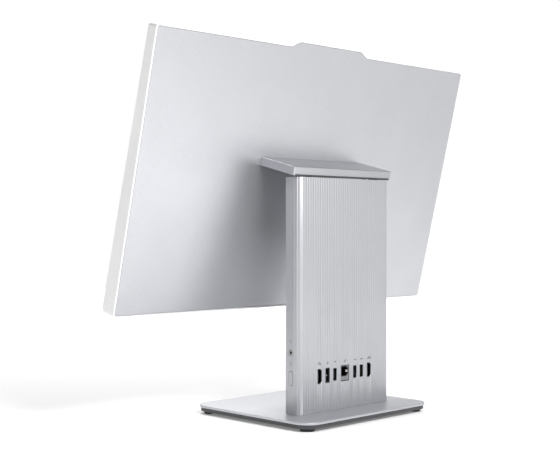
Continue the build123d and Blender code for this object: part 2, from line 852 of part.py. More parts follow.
# ---------------------------------------------------------------- hinge, column side
bracket_height = 42.0
bracket_steel = 2.0
bracket_top_gap = 8.0
lug_knee = 14.0
lug_foot = 6.0
pin_head = 2.0
lug_inner = arm_width / 2 + running_gap
bracket_bottom = hinge_z - bracket_height
bracket_top = hinge_z - bracket_top_gap
for side, word in ((-1, "left"), (1, "right")):
    middle = side * hinge_x
    with BuildPart() as bracket:
        box(
            middle - lug_inner - lug_thickness, middle + lug_inner + lug_thickness,
            web_rear_y, web_rear_y + bracket_steel, bracket_bottom, bracket_top,
        )
        for lug_x in (middle - lug_inner - lug_thickness, middle + lug_inner):
            with BuildSketch(Plane.YZ.offset(lug_x)):
                with Locations((hinge_y, hinge_z)):
                    Circle(eye_radius)
                with BuildLine():
                    Polyline(
                        (web_rear_y, bracket_bottom),
                        (web_rear_y, bracket_top),
                        (hinge_y - eye_radius, hinge_z),
                        (hinge_y + eye_radius, hinge_z),
                        (hinge_y + eye_radius, hinge_z - lug_knee),
                        (web_rear_y + lug_foot, bracket_bottom),
                        close=True,
                    )
                make_face()
                with Locations((hinge_y, hinge_z)):
                    Circle(pin_radius, mode=Mode.SUBTRACT)
            extrude(amount=lug_thickness)
    write(bracket, f"hinge_bracket_{word}")

    pin_half = lug_inner + lug_thickness
    with BuildPart() as pin:
        with BuildSketch(Plane.YZ.offset(middle - pin_half)):
            with Locations((hinge_y, hinge_z)):
                Circle(pin_radius)
        extrude(amount=2 * pin_half)
        for start, amount in ((middle - pin_half, -pin_head), (middle + pin_half, pin_head)):
            with BuildSketch(Plane.YZ.offset(start)):
                with Locations((hinge_y, hinge_z)):
                    RegularPolygon(eye_radius - fit_gap, 6)
            extrude(amount=amount)
    write(pin, f"hinge_pin_{word}")

# ---------------------------------------------------------------- hinge, display side
arm_opening = arm_width + 1.6
for side, word in ((-1, "left"), (1, "right")):
    middle = side * hinge_x
    with BuildPart() as arm:
        with BuildSketch(side_plane(middle - arm_width / 2)):
            with Locations((hinge_w, hinge_v)):
                Circle(eye_radius)
            with BuildLine():
                Polyline(
                    (arm_front_w, hinge_v),
                    (steel_rear_w, hinge_v),
                    (steel_rear_w, steel_bottom),
                    (arm_foot_w, steel_bottom),
                    (arm_foot_w, foot_bottom),
                    (arm_front_w, foot_bottom),
                    close=True,
                )
            make_face()
            with Locations((hinge_w, hinge_v)):
                Circle(pin_radius + pin_gap, mode=Mode.SUBTRACT)
        extrude(amount=arm_width)
        with BuildSketch(neck_level(foot_bottom)):
            with Locations(*[(middle + dx, w) for dx, w in arm_screw_spots]):
                Circle(arm_screw_radius + pin_gap)
        extrude(amount=neck_steel, mode=Mode.SUBTRACT)
    write(arm, f"hinge_arm_{word}")

# ---------------------------------------------------------------- neck plate
neck_half = neck_width / 2
neck_mid_w = (neck_gap + neck_length) / 2
neck_plane = neck_level(neck_underside)
steel_half = hinge_x + arm_width / 2 + 4.0
cable_notch = 2 * cable_radius + 4.0

with BuildPart() as neck_top_cover:
    with BuildSketch(neck_plane):
        with Locations((0, neck_mid_w)):
            Rectangle(neck_width, neck_length - neck_gap)
    extrude(amount=neck_thickness)
    neck_up = Axis(neck_plane.origin, neck_plane.z_dir)
    neck_rearward = Axis(neck_plane.origin, neck_plane.y_dir)
    fillet(neck_top_cover.edges().filter_by(neck_up).group_by(neck_rearward)[-1], neck_corner)
    chamfer(neck_top_cover.faces().sort_by(neck_up)[-1].edges(), neck_chamfer)
    with BuildSketch(neck_plane):
        with Locations((0, neck_mid_w - neck_wall)):
            Rectangle(neck_width - 2 * neck_wall, neck_length - neck_gap)
    extrude(amount=neck_thickness - neck_skin, mode=Mode.SUBTRACT)
write(neck_top_cover, "neck_top_cover")

with BuildPart() as neck_bottom_cover:
    with BuildSketch(neck_plane):
        with Locations((0, neck_mid_w - (neck_wall + cover_gap) / 2)):
            Rectangle(
                neck_width - 2 * (neck_wall + cover_gap),
                neck_length - neck_gap - neck_wall - cover_gap,
            )
        with Locations((-hinge_x, steel_rear_w), (hinge_x, steel_rear_w)):
            Rectangle(arm_opening, 2 * (arm_thickness + 1.0), mode=Mode.SUBTRACT)
        with Locations((cable_x, hinge_w)):
            Circle(cable_radius + running_gap, mode=Mode.SUBTRACT)
    extrude(amount=neck_skin)
write(neck_bottom_cover, "neck_bottom_cover")

plate_depth = 3.4
plate_low = neck_underside - 30.0
plate_high = neck_underside + 44.0
plate_corner = 4.0
bracket_screw_x = 54.0
bracket_screw_v = (plate_low + 8.0, plate_high - 8.0)
bracket_screw_spots = [(x, v) for x in (-bracket_screw_x, bracket_screw_x) for v in bracket_screw_v]
with BuildPart() as neck_bracket:
    with BuildSketch(back.offset(plate_depth)):
        with Locations((0, (plate_low + plate_high) / 2)):
            RectangleRounded(2 * steel_half, plate_high - plate_low, plate_corner)
        with Locations(*bracket_screw_spots):
            Circle(screw_hole, mode=Mode.SUBTRACT)
    extrude(amount=neck_steel)
    steel_front_w = -plate_depth - neck_steel / 2
    with BuildSketch(neck_level(steel_bottom)):
        with Locations((0, (steel_rear_w + steel_front_w) / 2)):
            Rectangle(2 * steel_half, steel_rear_w - steel_front_w)
        with Locations(*[(side * hinge_x + dx, w) for side in (-1, 1) for dx, w in arm_screw_spots]):
            Circle(arm_screw_radius + pin_gap, mode=Mode.SUBTRACT)
    extrude(amount=neck_steel)
    with BuildSketch(neck_level(plate_low - 1.0)):
        with Locations((cable_x, (steel_rear_w + steel_front_w) / 2)):
            Rectangle(cable_notch, steel_rear_w - steel_front_w + 20.0)
    extrude(amount=steel_top + 0.5 - plate_low + 1.0, mode=Mode.SUBTRACT)
write(neck_bracket, "neck_bracket")

hinge_screws = screws(
    [
        Plane(
            origin=back.from_local_coords((side * hinge_x + dx, steel_top, -w)),
            z_dir=(0, sin(tilt), cos(tilt)),
        )
        for side in (-1, 1)
        for dx, w in arm_screw_spots
    ],
    head_radius=1.9,
    head_height=0.7,
    shank_radius=arm_screw_radius,
    shank_length=2 * neck_steel,
)
write(hinge_screws, "hinge_screws")

# ---------------------------------------------------------------- display shells
ledge_width = 4.0
ledge_thickness = 1.2
rear_slot_half = steel_half + 1.5
cover_rib_height = 2.0
cover_rib_gap = 0.6
cover_rib_width = 1.4
grille_slots = 16
grille_pitch = 6.0
grille_length = 7.0
grille_width = 1.4
speaker_x = 150.0
with BuildPart() as display_frame:
    with BuildSketch(back):
        outline(-rim_width)
    extrude(amount=bottom_thickness + 6.0)
    with BuildSketch(back):
        outline(0)
    extrude(amount=bottom_thickness + 6.0, mode=Mode.SUBTRACT)
    with BuildSketch(back.offset(rear_cover_wall)):
        outline(0)
    extrude(amount=ledge_thickness)
    with BuildSketch(back.offset(rear_cover_wall)):
        outline(ledge_width)
    extrude(amount=ledge_thickness, mode=Mode.SUBTRACT)
    split(bisect_by=front, keep=Keep.BOTTOM)
    grille_plane = Plane(
        origin=back.from_local_coords((0, -rim_width, bottom_thickness / 2)),
        x_dir=(1, 0, 0),
        z_dir=(0, sin(tilt), cos(tilt)),
    )
    with BuildSketch(grille_plane):
        for side in (-1, 1):
            with Locations((side * speaker_x, 0)):
                with GridLocations(grille_pitch, 1, grille_slots, 1):
                    SlotOverall(grille_length, grille_width, rotation=90)
    extrude(amount=rim_width, mode=Mode.SUBTRACT)
write(display_frame, "display_frame")

with BuildPart() as rear_cover:
    with BuildSketch(back):
        outline(seam_gap)
    extrude(amount=rear_cover_wall)
    with BuildSketch(back.offset(rear_cover_wall)):
        outline(ledge_width + cover_rib_gap)
    extrude(amount=cover_rib_height)
    with BuildSketch(back.offset(rear_cover_wall)):
        outline(ledge_width + cover_rib_gap + cover_rib_width)
    extrude(amount=cover_rib_height, mode=Mode.SUBTRACT)
    slot_low = foot_bottom - fit_gap
    slot_high = skin_bottom - fit_gap
    with BuildSketch(back):
        with Locations((0, (slot_low + slot_high) / 2)):
            Rectangle(2 * rear_slot_half, slot_high - slot_low)
    extrude(amount=rear_cover_wall, mode=Mode.SUBTRACT)
write(rear_cover, "rear_cover")

lens_hole_radius = 2.4
lens_height = rim_width + display_height + lens_hole_radius
shutter_travel = 7.0
tab_x = 14.0
tab_width = 3.0
tab_height = 1.4
front_seam = Plane(
    origin=front.from_local_coords((0, rim_width, 0)), x_dir=(1, 0, 0), z_dir=front.z_dir
)
split_height = active_bottom - rim_width
beyond = 10.0
with BuildPart() as front_bezel:
    with BuildSketch(front_seam.offset(-bezel_thickness)):
        outline(cover_gap)
        with Locations((0, (split_height - beyond) / 2)):
            Rectangle(display_width + beyond, split_height + beyond, mode=Mode.SUBTRACT)
        with Locations((0, split_height + active_height / 2)):
            Rectangle(active_width, active_height, mode=Mode.SUBTRACT)
        with Locations((0, lens_height - rim_width)):
            Circle(lens_hole_radius, mode=Mode.SUBTRACT)
        with Locations((tab_x - shutter_travel / 2, lens_height - rim_width)):
            Rectangle(tab_width + shutter_travel + 0.8, tab_height + 0.8, mode=Mode.SUBTRACT)
    extrude(amount=bezel_thickness)
write(front_bezel, "front_bezel")

chin_thickness = 2.4
chin_layers = (
    (bezel_thickness, bezel_thickness, split_height - cover_gap),
    (chin_thickness, chin_thickness - bezel_thickness, cell_bottom - cover_gap - rim_width),
)
with BuildPart() as chin_cover:
    for depth, thickness, top in chin_layers:
        with BuildSketch(front_seam.offset(-depth)):
            outline(cover_gap)
            with Locations((0, top + display_height)):
                Rectangle(display_width + beyond, 2 * display_height, mode=Mode.SUBTRACT)
        extrude(amount=thickness)
write(chin_cover, "chin_cover")

# ---------------------------------------------------------------- screen stack
cell_half = active_width / 2 + cell_margin
cell_corner = 1.0
backlight_inset = 0.6
layers = (
    ("lcd_panel", bezel_thickness, cell_thickness, 0.0),
    ("backlight_unit", bezel_thickness + cell_thickness, backlight_thickness, backlight_inset),
)
for name, depth, thickness, inset in layers:
    with BuildPart() as layer:
        with BuildSketch(front.offset(-depth - thickness)):
            with Locations((0, (cell_bottom + cell_top) / 2)):
                RectangleRounded(
                    2 * (cell_half - inset), cell_top - cell_bottom - 2 * inset, cell_corner
                )
        extrude(amount=thickness)
    write(layer, name)

chassis_back = front.offset(-chassis_depth)
chassis_inset = 2.0
window_x = 170.0
window_pitch = 74.0
window_size = (110.0, 50.0)
window_corner = 8.0
bracket_pad_radius = 5.0
post_radius = 2.5
post_sink = 0.5
board_v = 80.0
board_half_width = 60.0
board_half_height = 20.0
board_post_inset = 4.0
board_depth = thickness_at(board_v) - chassis_depth - 3.0
board_post_x = board_half_width - board_post_inset
board_post_v = board_half_height - board_post_inset
board_post_spots = [
    (x, board_v + dv)
    for x in (-board_post_x, board_post_x)
    for dv in (-board_post_v, board_post_v)
]
window_middle = active_bottom + active_height / 2
posts = (
    (bracket_screw_spots, plate_depth + neck_steel, bracket_pad_radius),
    (board_post_spots, board_depth + board_thickness, post_radius),
)
with BuildPart() as panel_chassis:
    with BuildSketch(chassis_back):
        with Locations((0, (cell_bottom + cell_top) / 2)):
            RectangleRounded(
                2 * (cell_half - chassis_inset), cell_top - cell_bottom - 2 * chassis_inset, 2.0
            )
        with Locations((-window_x, window_middle), (window_x, window_middle)):
            with GridLocations(1, window_pitch, 1, 3):
                RectangleRounded(*window_size, window_corner, mode=Mode.SUBTRACT)
    extrude(amount=chassis_thickness)
    for spots, start, radius in posts:
        for x, v in spots:
            with BuildSketch(back.offset(start)):
                with Locations((x, v)):
                    Circle(radius)
            extrude(amount=thickness_at(v) - chassis_depth + post_sink - start)
write(panel_chassis, "panel_chassis")

display_screws = screws(
    [
        Plane(origin=back.from_local_coords((x, v, plate_depth)), x_dir=(1, 0, 0), z_dir=-back.z_dir)
        for x, v in bracket_screw_spots
    ],
    head_radius=3.0,
    head_height=1.2,
    shank_radius=screw_hole - pin_gap,
    shank_length=neck_steel,
)
write(display_screws, "display_screws")

chip_height = 1.4
chip_size = 14.0
chip_spots = ((10.0, board_v), (35.0, board_v + 4.0), (-20.0, board_v - 6.0))
with BuildPart() as display_board:
    with BuildSketch(back.offset(board_depth)):
        with Locations((0, board_v)):
            Rectangle(2 * board_half_width, 2 * board_half_height)
    extrude(amount=board_thickness)
    with BuildSketch(back.offset(board_depth - chip_height)):
        with Locations(*chip_spots):
            Rectangle(chip_size, chip_size)
        with Locations((cable_x, board_v + 10.0)):
            Rectangle(10.0, cable_plug_size)
    extrude(amount=chip_height)
write(display_board, "display_board")

speaker_length = 110.0
speaker_height = 12.5
speaker_low = 1.5
speaker_corner = 3.0
speaker_front = thickness_at(speaker_low + speaker_height) - chin_thickness - 1.5
speaker_back = rear_cover_wall + 3.0
for side, word in ((-1, "left"), (1, "right")):
    with BuildPart() as speaker:
        with BuildSketch(back.offset(speaker_back)):
            with Locations((side * speaker_x, speaker_low + speaker_height / 2)):
                RectangleRounded(speaker_length, speaker_height, speaker_corner)
        extrude(amount=speaker_front - speaker_back)
    write(speaker, f"speaker_{word}")

# ---------------------------------------------------------------- camera in the bump
shutter_depth = bezel_thickness + running_gap
shutter_thickness = 0.6
shutter_width = 12.0
shutter_height = 5.4
lens_depth = shutter_depth + shutter_thickness + running_gap
lens_radius = 2.2
lens_thickness = 0.8
with BuildPart() as camera_shutter:
    with BuildSketch(front.offset(-shutter_depth - shutter_thickness)):
        with Locations((tab_x - shutter_travel / 2, lens_height)):
            RectangleRounded(shutter_width, shutter_height, port_corner)
    extrude(amount=shutter_thickness)
    with BuildSketch(front.offset(-shutter_depth)):
        with Locations((tab_x, lens_height)):
            Rectangle(tab_width, tab_height)
    extrude(amount=shutter_depth + tab_height / 4)
write(camera_shutter, "camera_shutter")

with BuildPart() as webcam_lens:
    with BuildSketch(front.offset(-lens_depth - lens_thickness)):
        with Locations((0, lens_height)):
            Circle(lens_radius)
    extrude(amount=lens_thickness)
write(webcam_lens, "webcam_lens")

module_depth = lens_depth + lens_thickness
module_height = 3.0
module_size = 6.4
strip_length = 70.0
strip_thickness = 1.0
microphone_x = 30.0
with BuildPart() as webcam_module:
    with BuildSketch(front.offset(-module_depth - module_height)):
        with Locations((0, lens_height)):
            Rectangle(module_size, module_size)
    extrude(amount=module_height)
    with BuildSketch(front.offset(-module_depth - module_height - strip_thickness)):
        with Locations((0, lens_height)):
            Rectangle(strip_length, module_size + 0.4)
    extrude(amount=strip_thickness)
    with BuildSketch(front.offset(-module_depth - module_height)):
        with Locations((-microphone_x, lens_height), (microphone_x, lens_height)):
            Rectangle(4.0, 3.0)
    extrude(amount=1.2)
write(webcam_module, "webcam_module")

# ---------------------------------------------------------------- cable through the hinge
cable_gap = 1.0
cable_bend = 4.0
with BuildPart() as lower_display_cable:
    with BuildSketch(Plane.XY.offset(cable_plug_bottom)):
        with Locations((cable_x, hinge_y)):
            Circle(cable_radius)
    extrude(amount=hinge_z - cable_gap - cable_plug_bottom)
write(lower_display_cable, "lower_display_cable")

upper_run_v = (neck_underside + neck_skin + skin_bottom) / 2
cable_depth = rear_cover_wall + cable_radius + 1.2
cable_end_v = board_v + 14.0
with BuildPart() as upper_display_cable:
    with BuildLine(side_plane(cable_x)) as upper_route:
        FilletPolyline(
            (hinge_w, hinge_v + cable_gap),
            (hinge_w, upper_run_v),
            (-cable_depth, upper_run_v),
            (-cable_depth, cable_end_v),
            radius=cable_bend,
        )
    with BuildSketch(Plane(origin=upper_route.line @ 0, z_dir=upper_route.line % 0)):
        Circle(cable_radius)
    sweep()
write(upper_display_cable, "upper_display_cable")
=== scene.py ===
"""Visual model of an all-in-one desktop computer, built around its packed CAD frame.

Lengths are in metres, the screen faces -Y and +Z is up.
"""

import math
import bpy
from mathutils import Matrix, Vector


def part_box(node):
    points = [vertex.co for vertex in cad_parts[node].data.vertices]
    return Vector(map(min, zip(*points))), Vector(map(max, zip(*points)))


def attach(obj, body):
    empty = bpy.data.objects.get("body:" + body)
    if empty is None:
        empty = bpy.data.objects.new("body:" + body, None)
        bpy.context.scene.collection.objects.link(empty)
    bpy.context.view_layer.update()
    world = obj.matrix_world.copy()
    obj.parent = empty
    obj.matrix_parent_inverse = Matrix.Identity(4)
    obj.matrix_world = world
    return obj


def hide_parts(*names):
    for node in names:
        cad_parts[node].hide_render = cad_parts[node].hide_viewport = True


bl_info = {
    "name": "All-in-one desktop computer",
    "version": (1, 0, 0),
    "blender": (4, 5, 0),
    "location": "View3D > Sidebar > Computer",
    "description": "Builds the visible pieces of an all-in-one desktop computer",
    "category": "Object",
}

import bmesh
import bpy
from mathutils import Matrix, Vector

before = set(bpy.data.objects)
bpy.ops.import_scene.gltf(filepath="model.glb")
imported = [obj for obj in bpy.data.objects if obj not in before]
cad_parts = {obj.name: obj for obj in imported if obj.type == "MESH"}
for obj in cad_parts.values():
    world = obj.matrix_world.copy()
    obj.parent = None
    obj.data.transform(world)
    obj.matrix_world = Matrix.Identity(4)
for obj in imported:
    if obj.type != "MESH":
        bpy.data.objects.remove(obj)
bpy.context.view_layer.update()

MM = 0.001
# Least radius or step that a shape keeps, and the distance at which points become one
TINY = 0.01 * MM
WELD = TINY / 10
# Steps round a corner, and the angle past which an edge is shaded sharp
ARC_STEPS = 6
SMOOTH_ANGLE = math.radians(35)
# Rounding of an ordinary moulded edge
MOULDED_EDGE = 0.25 * MM
X_WAY = Vector((1, 0, 0))
Y_WAY = Vector((0, 1, 0))
Z_WAY = Vector((0, 0, 1))


# ---------------------------------------------------------------- measuring the frame
def facing(node_name, towards):
    """Unit normal of a CAD node's largest flat side that looks towards a direction."""
    areas = {}
    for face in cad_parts[node_name].data.polygons:
        if face.normal.dot(towards) > 0.5:
            key = tuple(round(c, 3) for c in face.normal)
            total, normal = areas.get(key, (0.0, face.normal.copy()))
            areas[key] = (total + face.area, normal)
    return max(areas.values(), key=lambda item: item[0])[1].normalized()


def axes(origin, across, up):
    """Right-handed place: its x runs across, its y up, its z along across x up."""
    out = across.cross(up)
    columns = (across, up, out, Vector(origin))
    return Matrix([[c[row] for c in columns] for row in range(3)] + [[0, 0, 0, 1]])


def box_in(place, node_name):
    """Lowest and highest corners of a CAD node in a place's own directions."""
    turn = place.inverted()
    points = [turn @ v.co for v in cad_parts[node_name].data.vertices]
    low = Vector([min(p[i] for p in points) for i in range(3)])
    high = Vector([max(p[i] for p in points) for i in range(3)])
    return low, high


def display_place(rim):
    """Place on the display's back: x across, y up from the seam, z towards the screen."""
    out = facing("rear_cover", Y_WAY)
    up = X_WAY.cross(out)
    if up.z < 0:
        up = -up
    place = axes((0, 0, 0), X_WAY, up)
    frame_low, _ = box_in(place, "display_frame")
    cover_low, _ = box_in(place, "rear_cover")
    return place @ Matrix.Translation((0, frame_low.y + rim, cover_low.z))


def front_place():
    """Place on the display's front face: x across, y up, z towards the viewer of the screen."""
    out = facing("front_bezel", -Y_WAY)
    place = axes((0, 0, 0), X_WAY, out.cross(X_WAY))
    low, _ = box_in(place, "display_frame")
    _, high = box_in(place, "front_bezel")
    return place @ Matrix.Translation((0, low.y, high.z))


def column_place():
    """Place on the column's rear face: x across, y up, z into the column."""
    _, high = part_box("column_rear_cover")
    return axes((0, high.y, 0), X_WAY, Z_WAY)


def column_side():
    """Place on the column's side that carries the controls: x rearwards, y up, z outwards."""
    _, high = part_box("column_rear_cover")
    return axes((high.x, 0, 0), Y_WAY, Z_WAY)


def middle_of(low, high):
    """Point halfway between two corners."""
    return (low + high) / 2


# ---------------------------------------------------------------- building meshes
def outline(corners, radii, inset=0.0, steps=ARC_STEPS):
    """Closed outline of a polygon with rounded corners, moved inwards by inset."""
    points = []
    count = len(corners)
    for i in range(count):
        before, here, after = (Vector(corners[(i + k) % count]) for k in (-1, 0, 1))
        come = (here - before).normalized()
        leave = (after - here).normalized()
        turn = math.atan2(come.x * leave.y - come.y * leave.x, come.dot(leave))
        side = math.copysign(1, turn)
        in_come = Vector((-come.y, come.x))
        in_leave = Vector((-leave.y, leave.x))
        reach = (in_come + in_leave) / (1 + in_come.dot(in_leave))
        radius = max(radii[i] - side * inset, TINY)
        centre = here + reach * (inset + side * radius)
        start = -in_come * side * radius
        for k in range(steps + 1):
            points.append(centre + Matrix.Rotation(turn * k / steps, 2) @ start)
    return points


def rectangle(x, y, width, height):
    """Corners of an upright rectangle about a centre, anticlockwise."""
    half_w, half_h = width / 2, height / 2
    return [
        (x - half_w, y - half_h),
        (x + half_w, y - half_h),
        (x + half_w, y + half_h),
        (x - half_w, y + half_h),
    ]


def shade(mesh):
    """Shades a mesh smooth except along its sharp edges."""
    mesh.polygons.foreach_set("use_smooth", [True] * len(mesh.polygons))
    mesh.set_sharp_from_angle(angle=SMOOTH_ANGLE)


def finished(name, made):
    """Object at the origin from a bmesh, smooth except along its sharp edges."""
    mesh = bpy.data.meshes.new(name)
    made.to_mesh(mesh)
    made.free()
    shade(mesh)
    piece = bpy.data.objects.new(name, mesh)
    bpy.context.scene.collection.objects.link(piece)
    return piece


def add_stack(made, place, corners, radii, levels, loop=False, steps=ARC_STEPS):
    """Adds a closed solid to a bmesh: outlines at (inset, depth) levels, joined in order."""
    rows = []
    for inset, depth in levels:
        ring = outline(corners, radii, inset, steps)
        heights = [depth(p) if callable(depth) else depth for p in ring]
        rows.append([made.verts.new(place @ Vector((p.x, p.y, z))) for p, z in zip(ring, heights)])
    pairs = list(zip(rows, rows[1:]))
    faces = []
    if loop:
        pairs.append((rows[-1], rows[0]))
    else:
        faces.append(made.faces.new(rows[0]))
        faces.append(made.faces.new(rows[-1]))
    for low, high in pairs:
        for i in range(len(low)):
            j = (i + 1) % len(low)
            faces.append(made.faces.new((low[i], low[j], high[j], high[i])))
    rings = [vertex for row in rows for vertex in row]
    bmesh.ops.remove_doubles(made, verts=rings, dist=WELD)
    bmesh.ops.recalc_face_normals(made, faces=[face for face in faces if face.is_valid])


def stack(name, place, corners, radii, levels, loop=False, steps=ARC_STEPS):
    """Object made of one stack of outlines."""
    made = bmesh.new()
    add_stack(made, place, corners, radii, levels, loop, steps)
    return finished(name, made)


def edge_arc(inset, depth, radius, start, end, steps=3):
    """Levels along a rounded edge about a centre, between two angles in degrees."""
    levels = []
    for k in range(steps + 1):
        angle = math.radians(start + (end - start) * k / steps)
        levels.append((inset + radius * math.cos(angle), depth + radius * math.sin(angle)))
    return levels


def settle(piece):
    """Turns a piece's modifiers into its plain mesh."""
    depsgraph = bpy.context.evaluated_depsgraph_get()
    mesh = bpy.data.meshes.new_from_object(piece.evaluated_get(depsgraph), depsgraph=depsgraph)
    piece.modifiers.clear()
    piece.data = mesh
    return piece


def carve(piece, cutters):
    """Cuts the cutters out of a piece and removes them."""
    for cutter in cutters:
        cut = piece.modifiers.new("Cut", "BOOLEAN")
        cut.object = cutter
        cut.operation = "DIFFERENCE"
        cut.solver = "EXACT"
    settle(piece)
    for cutter in cutters:
        bpy.data.objects.remove(cutter)
    shade(piece.data)
    return piece


def soften(node_name, name, width, segments=2):
    """Copy of a CAD node whose sharp edges are rounded to a small width."""
    made = bmesh.new()
    made.from_mesh(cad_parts[node_name].data)
    bmesh.ops.remove_doubles(made, verts=made.verts, dist=WELD)
    flat = math.radians(0.5)
    bmesh.ops.dissolve_limit(made, angle_limit=flat, verts=made.verts, edges=made.edges)
    piece = finished(name, made)
    edges = piece.modifiers.new("Edges", "BEVEL")
    edges.width = width
    edges.segments = segments
    edges.limit_method = "ANGLE"
    edges.angle_limit = math.radians(40)
    edges.harden_normals = True
    return settle(piece)


def dress(piece, finish_name, body, slot, *nodes):
    """Gives a piece its finish, the body it rides on and the CAD nodes it stands for."""
    piece.data.materials.clear()
    piece.data.materials.append(finish(finish_name))
    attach(piece, body)
    if nodes:
        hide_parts(*nodes)
    return piece


# ---------------------------------------------------------------- nodes
def add(tree, kind, inputs=None, **settings):
    """Adds one node with its settings and its inputs' values or links."""
    made = tree.nodes.new(kind)
    for key, value in settings.items():
        setattr(made, key, value)
    for key, value in (inputs or {}).items():
        links = value if isinstance(value, list) else [value]
        for item in links:
            if isinstance(item, bpy.types.NodeSocket):
                tree.links.new(item, made.inputs[key])
            else:
                made.inputs[key].default_value = item
    return made


def new_tree(name, sockets):
    """Geometry Nodes group with named inputs; returns it with its Group Input node."""
    tree = bpy.data.node_groups.new(name, "GeometryNodeTree")
    tree.interface.new_socket("Geometry", in_out="INPUT", socket_type="NodeSocketGeometry")
    for label, kind in sockets:
        tree.interface.new_socket(label, in_out="INPUT", socket_type="NodeSocket" + kind)
    tree.interface.new_socket("Geometry", in_out="OUTPUT", socket_type="NodeSocketGeometry")
    return tree, add(tree, "NodeGroupInput")


def end_tree(tree, geometry, material):
    """Ends a tree in Realize Instances, Set Material and its output."""
    real = add(tree, "GeometryNodeRealizeInstances", {"Geometry": geometry})
    done = add(
        tree, "GeometryNodeSetMaterial",
        {"Geometry": real.outputs["Geometry"], "Material": material},
    )
    add(tree, "NodeGroupOutput", {"Geometry": done.outputs["Geometry"]})


def grow(name, tree, values, points=(), edges=()):
    """Plain mesh object that a Geometry Nodes tree makes from its named inputs."""
    mesh = bpy.data.meshes.new(name)
    mesh.from_pydata(points, edges, [])
    piece = bpy.data.objects.new(name, mesh)
    bpy.context.scene.collection.objects.link(piece)
    modifier = piece.modifiers.new("Make", "NODES")
    modifier.node_group = tree
    for item in tree.interface.items_tree:
        if item.item_type == "SOCKET" and item.in_out == "INPUT" and item.name in values:
            modifier[item.identifier] = values[item.name]
    return piece


def slot_row_tree():
    """Row of like bars with rounded ends: slots to cut, contacts, fins."""
    if "slot_row" in bpy.data.node_groups:
        return bpy.data.node_groups["slot_row"]
    tree, given = new_tree("slot_row", (
        ("Width", "Float"), ("Length", "Float"), ("Depth", "Float"), ("Corner", "Float"),
        ("Count", "Int"), ("Start", "Vector"), ("Step", "Vector"), ("Finish", "Material"),
    ))
    value = given.outputs
    shape = add(
        tree, "GeometryNodeCurvePrimitiveQuadrilateral",
        {"Width": value["Width"], "Height": value["Length"]},
    )
    rounded = add(
        tree, "GeometryNodeFilletCurve",
        {"Curve": shape.outputs["Curve"], "Count": 4, "Radius": value["Corner"],
         "Limit Radius": True},
        mode="POLY",
    )
    face = add(tree, "GeometryNodeFillCurve", {"Curve": rounded.outputs["Curve"]}, mode="NGONS")
    up = add(tree, "ShaderNodeCombineXYZ", {"Z": value["Depth"]})
    raised = add(
        tree, "GeometryNodeExtrudeMesh",
        {"Mesh": face.outputs["Mesh"], "Offset": up.outputs["Vector"], "Offset Scale": 1.0,
         "Individual": False},
    )
    floor = add(tree, "GeometryNodeFlipFaces", {"Mesh": face.outputs["Mesh"]})
    both = add(
        tree, "GeometryNodeJoinGeometry",
        {"Geometry": [raised.outputs["Mesh"], floor.outputs["Mesh"]]},
    )
    solid = add(
        tree, "GeometryNodeMergeByDistance",
        {"Geometry": both.outputs["Geometry"], "Distance": WELD},
    )
    spots = add(
        tree, "GeometryNodeMeshLine",
        {"Count": value["Count"], "Start Location": value["Start"], "Offset": value["Step"]},
        mode="OFFSET", count_mode="TOTAL",
    )
    row = add(
        tree, "GeometryNodeInstanceOnPoints",
        {"Points": spots.outputs["Mesh"], "Instance": solid.outputs["Geometry"]},
    )
    end_tree(tree, row.outputs["Instances"], value["Finish"])
    return tree


def slot_row(name, place, centre, step, count, size, corner, finish_name):
    """Row of bars about a centre in a place: size is width, length and depth."""
    step = Vector(step)
    start = Vector(centre) - step * (count - 1) / 2
    values = {
        "Width": size[0], "Length": size[1], "Depth": size[2], "Corner": corner,
        "Count": count, "Start": start, "Step": step, "Finish": finish(finish_name),
    }
    piece = settle(grow(name, slot_row_tree(), values))
    piece.data.transform(place)
    return piece


